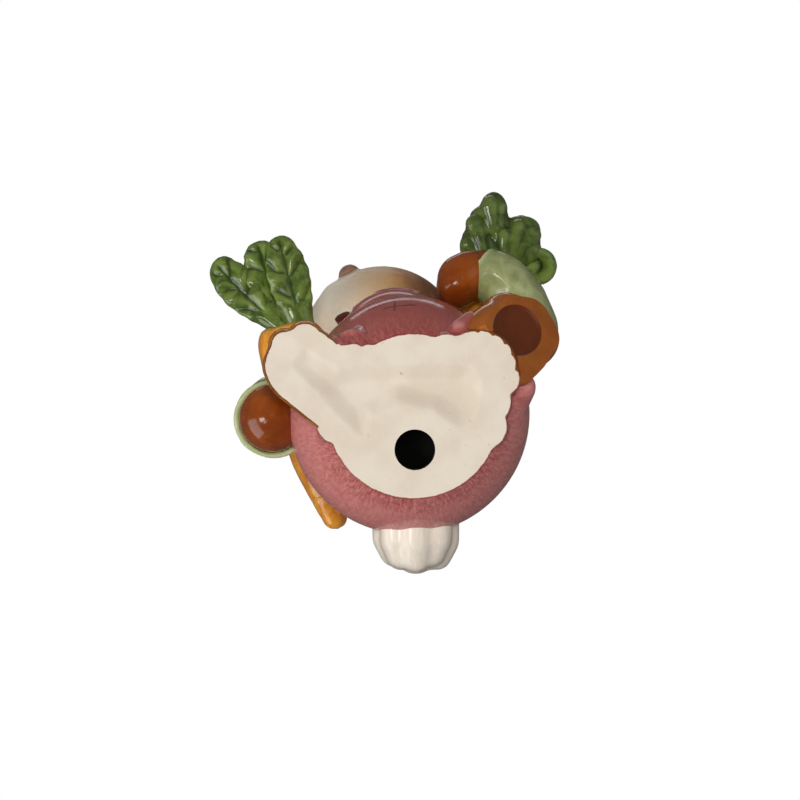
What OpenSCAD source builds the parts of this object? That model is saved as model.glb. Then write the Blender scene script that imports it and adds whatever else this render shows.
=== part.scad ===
// Seated hare figurine in glazed earthenware, with a carrot on each arm.
// Every piece is a separate slip casting. Spigots seat in sockets, and a film of slip fills the joints.
// The hare faces -Y and stands on Z = 0. Its own right side is at -X.

/* [Belly and chest] */
// Radius of the round belly
belly_r = 34.5; // [33:0.5:36]
// Height of the belly's centre above the table
belly_z = 24; // [22:0.5:26]
// Radius of the chest
chest_r = 22; // [20:0.5:24]
// Chest centre to the hare's right of the belly's centre
chest_right = 3; // [2:0.5:5]
// Chest centre forward of the belly's centre
chest_forward = 14.5; // [12:0.5:16]
// Chest centre above the belly's centre
chest_rise = 24; // [22:0.5:26]
// Wall of the hollow castings
wall = 3; // [2.4:0.1:3.6]

/* [Base] */
// Thickness of the flat base
base_t = 4; // [3:0.5:5]
// Radius of the firing vent in the base
vent_r = 5.5; // [4.5:0.25:6.5]
// Vent centre behind the belly's centre
vent_back = 9.5; // [8:0.5:11]
// Vent centre to the hare's left of the belly's centre
vent_left = 1.5; // [0:0.5:3]
// Width of the ring left flat around the vent
vent_land = 5; // [4.5:0.25:6]
// Depth of the sunken panel in the base
panel_depth = 1.2; // [0.6:0.1:1.6]

/* [Legs and feet] */
// Radius of a trouser hem
hem_r = 14; // [13:0.25:15]
// Height of the leg axis above the table
leg_z = 7; // [6:0.5:8]
// Reach of the right hem past the belly's seat on the table
right_hem_out = 0.2; // [-1.8:0.1:2.2]
// Reach of the left hem past the belly's seat on the table
left_hem_out = 5.7; // [4.2:0.1:7.2]
// Way the right leg points, in degrees from the hare's right towards its front
right_leg_angle = 26; // [21:1:31]
// Way the left leg points, in degrees from the hare's left towards its front
left_leg_angle = 33; // [28:1:38]
// Half length of a foot
foot_half_len = 18; // [16.5:0.5:19.5]
// Half width of the right foot, which stands on the table
right_foot_half_w = 11.4; // [10.5:0.1:12.5]
// Half width of the left foot, which is raised
left_foot_half_w = 12.6; // [11.5:0.1:13.5]
// Reach of the right foot's middle past the belly's seat on the table
right_foot_out = 1.7; // [0.2:0.1:3.2]
// Tilt of the raised left foot, in degrees
left_foot_tilt = 46; // [41:1:51]
// Half length of the sole pad
pad_half_len = 9.5; // [8:0.1:10.5]
// Half width of the sole pad
pad_half_w = 7.3; // [6:0.1:8]
// Height of the sole pad
pad_t = 0.8; // [0.4:0.1:1.2]
// Radius of the spigot on a foot
foot_spigot_r = 5; // [4:0.5:5.5]

/* [Head and ears] */
// Radius of the head
head_r = 23.6; // [22.6:0.2:24.6]
// Head centre to the hare's right of the chest centre
head_right = 5; // [3:0.5:7]
// Head centre forward of the chest centre
head_forward = 6.5; // [5:0.1:8]
// Head centre above the chest centre
head_rise = 35; // [33.5:0.5:36.5]
// Turn of the face to the hare's right, in degrees
head_turn = 25; // [18:1:32]
// Radius of the hollow neck spigot
neck_r = 8; // [7:0.5:9]
// Radius of the nose
nose_r = 3.2; // [2.6:0.1:3.8]
// Length of an ear above the head
ear_len = 44; // [38:1:48]
// Width of an ear
ear_w = 19; // [17:0.5:21]
// Thickness of an ear
ear_t = 8; // [7:0.25:9]
// Lean of an ear's root away from upright, sideways, in degrees
ear_splay = 25; // [22:1:30]
// Lean of an ear's root backwards, in degrees
ear_lean = 16; // [10:1:20]
// Radius of an ear's tenon
ear_tenon_r = 2.5; // [2:0.1:3]

/* [Arms] */
// Radius of a sleeve at the shoulder
shoulder_r = 10; // [9.4:0.1:10.6]
// Radius of a sleeve at the elbow
elbow_r = 9.8; // [9.2:0.1:10.4]
// Radius of the right cuff
right_cuff_r = 11; // [10.6:0.1:11.5]
// Radius of the left cuff
left_cuff_r = 9.6; // [9.2:0.1:10.2]
// Elbow of the right arm, from the chest centre
right_elbow = [-34.5, 13.5, 12]; // [-60:0.5:60]
// End of the right cuff, from the chest centre
right_wrist = [-36, 15.5, -20]; // [-60:0.5:60]
// Elbow of the left arm, from the chest centre
left_elbow = [38, -9, -5]; // [-60:0.5:60]
// End of the left cuff, from the chest centre
left_wrist = [24, -26.5, -4]; // [-60:0.5:60]
// Half length of a hand
hand_half_len = 10; // [9.4:0.1:11]
// Half width of the right hand
right_hand_half_w = 8.8; // [8.2:0.1:9.4]
// Half width of the left hand
left_hand_half_w = 8.6; // [8.2:0.1:8.8]
// Bend of the left hand at the wrist, in degrees towards the belly
left_hand_bend = 62; // [54:1:68]
// Reach of the right hand's middle past the end of its cuff
right_hand_reach = 3; // [2:0.25:4]
// Reach of the left hand's middle past the end of its cuff
left_hand_reach = 4.25; // [3.5:0.25:5]
// Radius of a wrist spigot
wrist_r = 4; // [3.5:0.1:4.5]
// Radius of a shoulder spigot
shoulder_spigot_r = 4; // [3.5:0.1:4.5]

/* [Carrots] */
// Radius of a carrot at its shoulder
carrot_r = 10; // [9.2:0.1:10.6]
// Radius of a carrot near its tip
carrot_tip_r = 2.6; // [2:0.1:3.2]
// Length of the right carrot
right_carrot_len = 61; // [58:1:64]
// Length of the left carrot
left_carrot_len = 50; // [47:1:53]
// Crown of the right carrot, from the chest centre
right_crown = [-33.5, -10, 4]; // [-60:0.5:60]
// Crown of the left carrot, from the chest centre
left_crown = [31, -28.5, 11.5]; // [-60:0.5:60]
// Turn of the right carrot's crown from straight ahead, in degrees to the hare's right
right_carrot_turn = 14; // [10:1:18]
// Turn of the left carrot's crown from straight ahead, in degrees to the hare's left
left_carrot_turn = 13; // [9:1:17]
// Tilt of the right carrot, rising from its crown to its tip, in degrees
right_carrot_tilt = 4; // [1:1:7]
// Tilt of the left carrot, rising from its crown to its tip, in degrees
left_carrot_tilt = 9; // [6:1:12]
// Length of a leaf
leaf_len = 29; // [26:0.5:32]
// Width of a leaf
leaf_w = 15; // [13:0.5:17]
// Thickness of a leaf
leaf_t = 6.5; // [5.5:0.25:7.5]
// Turns of the right carrot's leaves from straight ahead, in degrees to the hare's right
right_leaf_turns = [1, 24, 47]; // [-20:1:90]
// Turns of the left carrot's leaves from straight ahead, in degrees to the hare's left
left_leaf_turns = [-6, 27, 72]; // [-20:1:90]
// Upward tilts of the right carrot's leaves, in degrees
right_leaf_tilts = [10, 10, 10]; // [0:1:60]
// Upward tilts of the left carrot's leaves, in degrees
left_leaf_tilts = [34, 48, 52]; // [0:1:60]
// Radius of the tenon that holds a bunch of leaves
leaf_tenon_r = 3; // [2.5:0.1:3.5]

/* [Tail] */
// Radius of the tail
tail_r = 12.3; // [11:0.1:13.5]
// Length of the tail outside the trousers
tail_len = 11.5; // [10:0.5:14]
// Height of the tail's centre above the table
tail_z = 26; // [24:0.5:28]
// Tail's centre to the hare's left of the belly's centre
tail_left = 2; // [0:0.5:4]
// Number of lobes around the tail
tail_lobes = 13; // [9:1:15]
// Depth of the grooves between the lobes
tail_groove = 0.8; // [0.4:0.1:1.2]
// Radius of the tail's spigot
tail_spigot_r = 5; // [4:0.5:6]

/* [Joints] */
// Gap that the joining slip fills
slip_gap = 0.2; // [0.15:0.05:0.3]
// Depth to which spigots and tenons reach into their sockets
spigot_len = 5; // [4:0.5:6]

/* [Hidden] */
$fn = 48;

RIGHT = -1;
LEFT = 1;
far = 4 * belly_r;
pink = [0.64, 0.36, 0.35];
fur_brown = [0.50, 0.27, 0.12];
cloth_green = [0.60, 0.65, 0.44];
leaf_green = [0.27, 0.38, 0.15];
carrot_orange = [0.85, 0.52, 0.12];
cream = [0.90, 0.85, 0.78];

belly_c = [0, 0, belly_z];
seat_r = sqrt(belly_r ^ 2 - belly_z ^ 2);
chest_c = belly_c + [-chest_right, -chest_forward, chest_rise];
head_c = chest_c + [-head_right, -head_forward, head_rise];
vent_c = [vent_left, vent_back, 0];

function unit(v) = v / norm(v);
function mix(a, b, t) = a + (b - a) * t;
function of_side(side, right, left) = side == RIGHT ? right : left;

// Level direction that points sideways and, by angle, forwards
function sideways(side, angle) = [side * cos(angle), -sin(angle), 0];

// Oval ring of n points around c, in the plane of u and v
function ring(c, u, v, a, b, n) =
    [for (i = [0:n - 1]) c + a * cos(360 * i / n) * u + b * sin(360 * i / n) * v];

// Stands what is drawn along Z on point p, pointing along dir
module stand(p, dir) {
    translate(p) rotate([0, acos(dir.z), atan2(dir.y, dir.x)]) children();
}

// Egg of revolution about Z, with its half length and its half width
module egg(half_length, half_width) {
    steps = 24;
    rotate_extrude() polygon([for (k = [0:steps])
        [half_width * sin(180 * k / steps), -half_length * cos(180 * k / steps)]]);
}

// Closed skin over a list of rings that all have the same number of points
module skin(rings) {
    n = len(rings[0]);
    last = len(rings) - 1;
    middles = [for (k = [0, last]) [for (i = [0:n - 1]) 1] * rings[k] / n];
    points = concat([for (r = rings) each r], middles);
    sides = [for (k = [0:last - 1], i = [0:n - 1])
        let (j = (i + 1) % n, p = k * n + i, q = k * n + j)
        each [[p, p + n, q + n], [p, q + n, q]]];
    ends = [for (i = [0:n - 1])
        let (j = (i + 1) % n, top = last * n)
        each [[len(points) - 2, i, j], [len(points) - 1, top + j, top + i]]];
    polyhedron(points, concat(sides, ends));
}

// Keeps what lies above the given height
module above(height) {
    intersection() {
        children();
        translate([-far, -far, height]) cube([2 * far, 2 * far, 2 * far]);
    }
}

// Legs and feet

function leg_dir(side) = sideways(side, of_side(side, right_leg_angle, left_leg_angle));
function hem_reach(side) = seat_r + of_side(side, right_hem_out, left_hem_out);

right_foot_c = leg_dir(RIGHT) * (seat_r + right_foot_out) + [0, 0, right_foot_half_w / 3];

// The raised foot's own directions, towards its toes and out of its sole
toe_dir = leg_dir(LEFT) * cos(left_foot_tilt) + [0, 0, sin(left_foot_tilt)];
sole_dir = leg_dir(LEFT) * sin(left_foot_tilt) - [0, 0, cos(left_foot_tilt)];
heel = leg_dir(LEFT) * hem_reach(LEFT);
sole_depth = left_foot_half_w / 2;
heel_share = 0.6;
left_foot_c = heel + toe_dir * foot_half_len * heel_share - sole_dir * sole_depth;
pad_c = heel + toe_dir * pad_half_len;

module trouser_leg(side, grow) {
    stand([0, 0, leg_z], leg_dir(side))
        cylinder(r1 = hem_r + wall + grow, r2 = hem_r + grow, h = hem_reach(side) + grow);
}

module foot_spigot(side, grow) {
    stand(leg_dir(side) * (hem_reach(side) - spigot_len - grow) + [0, 0, leg_z], leg_dir(side))
        cylinder(r = foot_spigot_r + grow, h = spigot_len + foot_half_len / 3 + grow);
}

module sole_pad() {
    stand(pad_c - sole_dir * pad_t, sole_dir) rotate(90) linear_extrude(2 * pad_t)
        scale([pad_half_w, pad_half_len]) circle(1);
}

module right_foot() {
    color(fur_brown) {
        difference() {
            above(0) stand(right_foot_c, leg_dir(RIGHT)) egg(foot_half_len, right_foot_half_w);
            body_form(slip_gap);
        }
        foot_spigot(RIGHT, 0);
    }
}

module left_foot() {
    color(fur_brown) {
        difference() {
            above(0) stand(left_foot_c, toe_dir) egg(foot_half_len, left_foot_half_w);
            stand(left_foot_c + sole_dir * sole_depth, sole_dir) cylinder(r = far, h = far);
            body_form(slip_gap);
        }
        difference() {
            above(0) sole_pad();
            body_form(slip_gap);
        }
        foot_spigot(LEFT, 0);
    }
}

// Body

module body_form(grow) {
    translate(belly_c) sphere(belly_r + grow);
    translate(chest_c) sphere(chest_r + grow);
    trouser_leg(RIGHT, grow);
    trouser_leg(LEFT, grow);
}

module body_hollow() {
    difference() {
        above(base_t) union() {
            translate(belly_c) sphere(belly_r - wall);
            translate(chest_c) sphere(chest_r - wall);
        }
        translate(head_c) sphere(head_r + slip_gap + wall);
        for (side = [RIGHT, LEFT]) {
            socket_wall = slip_gap + wall;
            stand(leg_dir(side) * (hem_reach(side) - spigot_len - socket_wall) + [0, 0, leg_z], leg_dir(side))
                cylinder(r = foot_spigot_r + socket_wall, h = far);
        }
    }
}

// Sunken panel in the base, on both sides of the ring around the vent
module base_panel() {
    lobe_r = hem_r / 3;
    translate([0, 0, -panel_depth]) linear_extrude(2 * panel_depth) difference() {
        for (side = [RIGHT, LEFT]) {
            leg_end = leg_dir(side) * (hem_reach(side) - hem_r / 2);
            hull() {
                translate([leg_end.x, leg_end.y]) circle(lobe_r);
                translate([side * hem_r, 0]) circle(lobe_r / 2);
                translate([0, -hem_r / 2]) circle(lobe_r);
            }
        }
        translate(vent_c) circle(vent_r + vent_land);
    }
}

module body_shell() {
    color(pink) difference() {
        above(0) body_form(0);
        body_hollow();
        translate(head_c) sphere(head_r + slip_gap);
        neck_spigot(slip_gap);
        for (side = [RIGHT, LEFT]) {
            foot_spigot(side, slip_gap);
            shoulder_spigot(side, slip_gap);
        }
        tail_spigot(slip_gap);
        base_panel();
        translate(vent_c) cylinder(r = vent_r, h = 3 * base_t, center = true);
    }
}

// Tail

tail_seat = sqrt(belly_r ^ 2 - (belly_z - tail_z) ^ 2 - tail_left ^ 2);

module tail_spigot(grow) {
    stand([tail_left, tail_seat - wall - spigot_len, tail_z], [0, 1, 0])
        cylinder(r = tail_spigot_r + grow, h = wall + spigot_len + tail_len / 2);
}

module tail_form() {
    sides = 4 * tail_lobes;
    steps = 12;
    sink = tail_r / 2;
    round_start = 0.4;
    skin([for (k = [0:steps])
        let (t = k / steps,
            s = max(0, t - round_start) / (1 - round_start),
            r = tail_r * sqrt(1 - 0.9 * s ^ 2.4))
        [for (i = [0:sides - 1])
            let (a = -360 * i / sides, lobe = r - tail_groove * (1 - cos(tail_lobes * a)) / 2)
            [tail_left + lobe * cos(a), tail_seat - sink + t * (sink + tail_len), tail_z + lobe * sin(a)]]]);
}

module tail() {
    color(cream) {
        difference() {
            tail_form();
            body_form(slip_gap);
        }
        tail_spigot(0);
    }
}

// Head

neck_dir = unit(chest_c - head_c);
face_dir = [-sin(head_turn), -cos(head_turn), 0];
face_left = [cos(head_turn), -sin(head_turn), 0];

module neck_spigot(grow) {
    stand(head_c + neck_dir * (head_r - 2 * wall), neck_dir)
        cylinder(r = neck_r + grow, h = 2 * wall + spigot_len + grow);
}

module head_form(grow) {
    translate(head_c) sphere(head_r + grow);
    translate(head_c + face_dir * head_r) sphere(nose_r + grow);
}

module head_shell() {
    color(fur_brown) difference() {
        union() {
            head_form(0);
            neck_spigot(0);
        }
        translate(head_c) sphere(head_r - wall);
        stand(head_c, neck_dir) cylinder(r = neck_r - wall, h = far);
        for (side = [RIGHT, LEFT]) ear_tenon(side, slip_gap);
    }
}

// Ears

function ear_out(side) =
    unit(face_left * side * sin(ear_splay) - face_dir * sin(ear_lean) + [0, 0, cos(ear_splay)]);
function ear_root(side) = head_c + ear_out(side) * head_r;
function ear_up(side) = unit(ear_out(side) / 2 + [0, 0, 1]);

module ear_tenon(side, grow) {
    stand(ear_root(side) - ear_out(side) * (spigot_len + grow), ear_out(side))
        cylinder(r = ear_tenon_r + grow, h = spigot_len + wall + grow);
}

// An ear's outer skin, or the scoop in its front, which stays inside by rim
module ear_form(side, rim) {
    steps = 16;
    root_angle = 22;
    tip_angle = 177;
    up = ear_up(side);
    wide = unit(cross(-face_dir, up));
    back = cross(up, wide);
    skin([for (k = [0:steps])
        let (t = k / steps, swell = sqrt(sin(mix(root_angle, tip_angle, t))) * mix(1.05, 0.85, t))
        ring(ear_root(side) + up * mix(rim - wall, ear_len - rim, t) - back * (rim > 0 ? ear_t / 2 : 0),
            wide, back, (ear_w / 2 - rim) * swell, ear_t / 2 * swell, 20)]);
}

module ear(side) {
    rim = wall * 0.7;
    color(fur_brown) {
        difference() {
            ear_form(side, 0);
            translate([0, 0, rim]) ear_form(side, rim);
            head_form(slip_gap);
        }
        ear_tenon(side, 0);
    }
}

// Carrots

function carrot_turn(side) = of_side(side, right_carrot_turn, left_carrot_turn);
function carrot_len(side) = of_side(side, right_carrot_len, left_carrot_len);
function crown(side) = chest_c + of_side(side, right_crown, left_crown);

// From the crown to the tip
function carrot_dir(side) =
    let (tilt = of_side(side, right_carrot_tilt, left_carrot_tilt), turn = carrot_turn(side))
    [-side * sin(turn) * cos(tilt), cos(turn) * cos(tilt), sin(tilt)];

// Where the round shoulder ends and the round tip starts, as shares of a carrot's length
shoulder_end = 0.12;
tip_start = 0.94;
taper = 2.4;

// Radius of a carrot at t, from its crown at 0 to its tip at 1
function carrot_radius(t) =
    t < shoulder_end ? mix(carrot_r / 2, carrot_r, sqrt(1 - (1 - t / shoulder_end) ^ 2))
    : t < tip_start ? mix(carrot_r, carrot_tip_r, ((t - shoulder_end) / (tip_start - shoulder_end)) ^ taper)
    : carrot_tip_r * sqrt(max(0, 1 - ((t - tip_start) / (1 - tip_start)) ^ 2));

module carrot_form(side, grow) {
    steps = 25;
    length = carrot_len(side);
    stand(crown(side), carrot_dir(side)) rotate_extrude() polygon(concat(
        [[0, -grow]],
        [for (k = [0:steps - 1]) [carrot_radius(k / steps) + grow, length * k / steps - (k == 0 ? grow : 0)]],
        [[0, length + grow]]));
}

module leaf_tenon(side, grow) {
    stand(crown(side) - carrot_dir(side) * wall, carrot_dir(side))
        cylinder(r = leaf_tenon_r + grow, h = wall + spigot_len + grow);
}

module carrot(side) {
    color(carrot_orange) difference() {
        carrot_form(side, 0);
        body_form(slip_gap);
        head_form(slip_gap);
        leaf_tenon(side, slip_gap);
    }
}

// Leaves

// A leaf is widest at this share of its length
leaf_widest = 0.6;
leaf_stem_share = 0.45;

module leaf(side, turn, tilt) {
    steps = 10;
    out = [side * sin(turn) * cos(tilt), -cos(turn) * cos(tilt), sin(tilt)];
    wide = unit(cross([0, 0, 1], out));
    thick = cross(out, wide);
    skin([for (k = [0:steps])
        let (t = k / steps,
            swell = mix(leaf_stem_share, 1, sin(90 * min(1, t / leaf_widest)))
                * sqrt(1 - 0.98 * (max(0, t - leaf_widest) / (1 - leaf_widest)) ^ 2))
        ring(crown(side) + out * mix(-wall, leaf_len, t) + thick * leaf_t / 4 * sin(180 * t),
            wide, thick, leaf_w / 2 * swell, leaf_t / 2 * mix(1, swell, t), 14)]);
}

module leaves(side) {
    turns = of_side(side, right_leaf_turns, left_leaf_turns);
    tilts = of_side(side, right_leaf_tilts, left_leaf_tilts);
    color(leaf_green) {
        difference() {
            union() {
                for (i = [0:len(turns) - 1]) leaf(side, turns[i], tilts[i]);
            }
            carrot_form(side, slip_gap);
            sleeve_form(side, slip_gap);
        }
        leaf_tenon(side, 0);
    }
}

// Arms

// Bend spheres stand this much proud of the straight stretches
bend_swell = 0.4;
shoulder_back = 32;
shoulder_up = 31;

function shoulder_dir(side) = sideways(side, -shoulder_back) * cos(shoulder_up) + [0, 0, sin(shoulder_up)];
function shoulder(side) = chest_c + shoulder_dir(side) * (chest_r - wall);
function elbow(side) = chest_c + of_side(side, right_elbow, left_elbow);
function wrist(side) = chest_c + of_side(side, right_wrist, left_wrist);
function cuff_r(side) = of_side(side, right_cuff_r, left_cuff_r);
function cuff_dir(side) = unit(wrist(side) - elbow(side));
function hand_half_w(side) = of_side(side, right_hand_half_w, left_hand_half_w);
function hand_reach(side) = of_side(side, right_hand_reach, left_hand_reach);

// Way a hand points: the left one is bent inwards, level
function hand_dir(side) =
    let (d = cuff_dir(side), a = side == LEFT ? left_hand_bend : 0)
    [d.x * cos(a) + d.y * sin(a), d.y * cos(a) - d.x * sin(a), d.z];

module shoulder_spigot(side, grow) {
    stand(shoulder(side) - shoulder_dir(side) * (spigot_len - wall + grow), shoulder_dir(side))
        cylinder(r = shoulder_spigot_r + grow, h = spigot_len + wall + grow);
}

// Stretch of a sleeve from a to b, with the round bend at its start
module sleeve_stretch(a, b, r1, r2) {
    translate(a) sphere(r1 + bend_swell);
    stand(a, unit(b - a)) cylinder(r1 = r1, r2 = r2, h = norm(b - a));
}

module sleeve_form(side, grow) {
    end = wrist(side) + cuff_dir(side) * grow;
    sleeve_stretch(shoulder(side), elbow(side), shoulder_r + grow, elbow_r + grow);
    sleeve_stretch(elbow(side), end, elbow_r + grow, cuff_r(side) + grow);
}

// Wide mouth of a cuff, in which the hand sits
module cuff_mouth(side) {
    depth = hand_half_len - hand_reach(side) + slip_gap;
    stand(wrist(side) - cuff_dir(side) * depth, cuff_dir(side))
        cylinder(r = min(hand_half_w(side) + slip_gap, cuff_r(side) - wall / 3), h = far);
}

module hand_spigot(side, grow) {
    depth = hand_half_len - hand_reach(side) + spigot_len + grow;
    stand(wrist(side) - cuff_dir(side) * depth, cuff_dir(side)) cylinder(r = wrist_r + grow, h = depth);
}

module sleeve(side) {
    color(cloth_green) {
        difference() {
            union() {
                difference() {
                    sleeve_form(side, 0);
                    body_form(slip_gap);
                }
                shoulder_spigot(side, 0);
            }
            head_form(slip_gap);
            carrot_form(side, slip_gap);
            cuff_mouth(side);
            hand_spigot(side, slip_gap);
        }
    }
}

module hand(side) {
    color(fur_brown) difference() {
        union() {
            difference() {
                stand(wrist(side) + hand_dir(side) * hand_reach(side), hand_dir(side))
                    egg(hand_half_len, hand_half_w(side));
                difference() {
                    sleeve_form(side, slip_gap);
                    cuff_mouth(side);
                }
            }
            hand_spigot(side, 0);
        }
        body_form(slip_gap);
        carrot_form(side, slip_gap);
    }
}

body_shell();
right_foot();
left_foot();
tail();
head_shell();
ear(RIGHT);  // right_ear
ear(LEFT);  // left_ear
sleeve(RIGHT);  // right_sleeve
sleeve(LEFT);  // left_sleeve
hand(RIGHT);  // right_hand
hand(LEFT);  // left_hand
carrot(RIGHT);  // right_carrot
carrot(LEFT);  // left_carrot
leaves(RIGHT);  // right_leaves
leaves(LEFT);  // left_leaves
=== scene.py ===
import math

import bmesh
import bpy
import numpy as np
from mathutils import Matrix, Vector, kdtree, noise


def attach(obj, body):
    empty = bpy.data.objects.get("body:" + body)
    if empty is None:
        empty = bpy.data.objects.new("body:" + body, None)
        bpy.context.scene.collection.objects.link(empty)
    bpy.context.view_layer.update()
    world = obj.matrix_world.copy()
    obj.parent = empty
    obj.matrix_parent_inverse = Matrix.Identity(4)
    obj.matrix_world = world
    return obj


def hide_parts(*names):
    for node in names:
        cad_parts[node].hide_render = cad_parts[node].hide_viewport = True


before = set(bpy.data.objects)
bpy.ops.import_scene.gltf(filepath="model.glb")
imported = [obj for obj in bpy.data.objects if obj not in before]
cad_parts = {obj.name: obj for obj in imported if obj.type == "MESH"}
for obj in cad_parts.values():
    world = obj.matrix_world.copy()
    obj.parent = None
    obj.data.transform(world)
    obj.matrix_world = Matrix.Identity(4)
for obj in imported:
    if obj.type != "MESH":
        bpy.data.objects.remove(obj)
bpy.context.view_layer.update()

print("frame loaded with", len(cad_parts), "nodes")


# Clay: forms are laid in millimetres, fused by a voxel remesh and smoothed

bench = {
    "toMetres": 0.001,
    "bigBall": 15,  # a larger ball gets finer facets
    "limbSides": 64,
    "ringDots": 21,
    "weld": 1e-4,
    "softness": 0.5,
    "onTable": 1e-3,
    "bareReach": 6,
    "bareHeight": 4,
}


def turnTo(way):
    return Vector(way).to_track_quat("Z", "Y").to_matrix().to_4x4()


def axes(across, along, out):
    # matrix whose columns are the three given directions
    return Matrix((across, along, out)).transposed().to_4x4()


def addBall(clay, at, size, turn=None):
    size = size if hasattr(size, "__len__") else (size, size, size)
    spot = Matrix.Translation(at) @ (turn or Matrix.Identity(4)) @ Matrix.Diagonal((*size, 1))
    facets = 5 if max(size) > bench["bigBall"] else 4
    bmesh.ops.create_icosphere(clay, subdivisions=facets, radius=1, matrix=spot)


def addLimb(clay, start, end, startRadius, endRadius, roundStart=True, roundEnd=True):
    start, end = Vector(start), Vector(end)
    spot = Matrix.Translation((start + end) / 2) @ turnTo(end - start)
    bmesh.ops.create_cone(clay, cap_ends=True, segments=bench["limbSides"], radius1=startRadius,
                          radius2=endRadius, depth=(end - start).length, matrix=spot)
    if roundStart:
        addBall(clay, start, startRadius)
    if roundEnd:
        addBall(clay, end, endRadius)


def addChain(clay, *stops):
    # limbs from stop to stop, each with its place and radius
    for (start, startRadius), (end, endRadius) in zip(stops, stops[1:]):
        addLimb(clay, start, end, startRadius, endRadius)


def addSpun(clay, profile, spot, steps=bench["limbSides"]):
    # profile of (radius, height) pairs turned about Z, then set in place
    part = bmesh.new()
    dots = [part.verts.new((r, 0, h)) for r, h in profile]
    lines = [part.edges.new(pair) for pair in zip(dots, dots[1:])]
    bmesh.ops.spin(part, geom=dots + lines, cent=(0, 0, 0), axis=(0, 0, 1), angle=2 * math.pi,
                   steps=steps, use_merge=True)
    bmesh.ops.remove_doubles(part, verts=part.verts, dist=bench["weld"])
    bmesh.ops.recalc_face_normals(part, faces=part.faces)
    bmesh.ops.transform(part, matrix=spot, verts=part.verts)
    layIn(clay, unfired("spun", part))


def addRing(clay, at, way, radius, thick):
    profile = [(radius + thick * math.cos(a), thick * math.sin(a))
               for a in np.linspace(0, 2 * math.pi, bench["ringDots"])]
    addSpun(clay, profile, Matrix.Translation(at) @ turnTo(way))


def layIn(clay, piece):
    # the piece's shape goes back into clay, and its object with its mesh goes away
    clay.from_mesh(piece.data)
    bpy.data.meshes.remove(piece.data)
    return clay


def applied(piece):
    # the piece keeps what its modifiers make of it
    shown = piece.evaluated_get(bpy.context.evaluated_depsgraph_get())
    old, piece.data = piece.data, bpy.data.meshes.new_from_object(shown)
    piece.modifiers.clear()
    bpy.data.meshes.remove(old)


def unfired(name, clay):
    mesh = bpy.data.meshes.new(name)
    clay.to_mesh(mesh)
    clay.free()
    piece = bpy.data.objects.new(name, mesh)
    bpy.context.scene.collection.objects.link(piece)
    return piece


def fused(name, clay, *passes):
    # each pass is a voxel size in millimetres and the rounds of smoothing after it
    piece = unfired(name, clay)
    for voxel, rounds in passes:
        remesh = piece.modifiers.new("fuse", "REMESH")
        remesh.mode, remesh.voxel_size = "VOXEL", voxel
        soften = piece.modifiers.new("soften", "SMOOTH")
        soften.factor, soften.iterations = bench["softness"], rounds
        applied(piece)
    return piece


def drilled(piece, start, end, startRadius, endRadius):
    hollow = bmesh.new()
    addLimb(hollow, start, end, startRadius, endRadius, False, False)
    bore = unfired("bore", hollow)
    drill = piece.modifiers.new("drill", "BOOLEAN")
    drill.object, drill.operation, drill.solver = bore, "DIFFERENCE", "EXACT"
    applied(piece)
    bpy.data.meshes.remove(bore.data)
    return piece


def readOff(items, key):
    values = np.empty(len(items) * 3, np.float32)
    items.foreach_get(key, values)
    return values.reshape(-1, 3).astype(float)


def getPoints(piece):
    return readOff(piece.data.vertices, "co")


def getNormals(piece):
    return readOff(piece.data.vertex_normals, "vector")


def setPoints(piece, co):
    piece.data.vertices.foreach_set("co", co.astype(np.float32).ravel())
    piece.data.update()


def swell(piece, lift):
    # every point moves along its normal
    setPoints(piece, getPoints(piece) + getNormals(piece) * lift[:, None])


def setMark(piece, name, values):
    marks = piece.data.attributes
    mark = marks.get(name) or marks.new(name, "FLOAT", "POINT")
    mark.data.foreach_set("value", np.asarray(values, np.float32))


def ease(x, low, high):
    t = np.clip((x - low) / (high - low), 0, 1)
    return t * t * (3 - 2 * t)


def lineGap(co, a, b):
    a, b = np.array(a, float), np.array(b, float)
    t = np.clip(((co - a) @ (b - a)) / ((b - a) @ (b - a)), 0, 1)
    return np.linalg.norm(co - a - t[:, None] * (b - a), axis=1)


def raiseFolds(piece, folds):
    # a fold is a line from a to b with its width and height, negative for a crease
    co = getPoints(piece)
    swell(piece, sum(height * np.exp(-(lineGap(co, a, b) / width) ** 2)
                     for a, b, width, height in folds))


def unevenness(co, size, seed):
    return np.array([noise.noise(Vector(p) / size + Vector((seed, 0, 0))) for p in co])


def roughen(piece, height, size, seed):
    swell(piece, height * unevenness(getPoints(piece), size, seed))


def pooled(piece, reach=0.25):
    # above a half on convex edges, where glaze runs thin, and below it in creases, where it pools
    co, out = getPoints(piece), getNormals(piece)
    pairs = np.empty(len(piece.data.edges) * 2, np.int32)
    piece.data.edges.foreach_get("vertices", pairs)
    pairs = np.concatenate([pairs.reshape(-1, 2), pairs.reshape(-1, 2)[:, ::-1]])
    count = np.maximum(np.bincount(pairs[:, 0], minlength=len(co)), 1)

    def around(values):
        return np.bincount(pairs[:, 0], values[pairs[:, 1]], minlength=len(co)) / count

    mean = np.stack([around(co[:, i]) for i in range(3)], 1)
    bend = ((co - mean) * out).sum(1)
    for _ in range(3):
        bend = (bend + around(bend)) / 2
    setMark(piece, "pool", np.clip(0.5 + bend / reach, 0, 1))
    return piece


def cutFlat(piece, at, way):
    # presses all past the plane onto it, with a crisp edge, and gives the depth from before
    clay = bmesh.new()
    clay.from_mesh(piece.data)
    bmesh.ops.bisect_plane(clay, geom=clay.verts[:] + clay.edges[:] + clay.faces[:],
                           dist=bench["weld"], plane_co=at, plane_no=way)
    clay.to_mesh(piece.data)
    clay.free()
    co, way = getPoints(piece), np.array(Vector(way).normalized())
    depth = (co - np.array(at, float)) @ way
    setPoints(piece, co - np.outer(np.maximum(depth, 0), way))
    return depth


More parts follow.
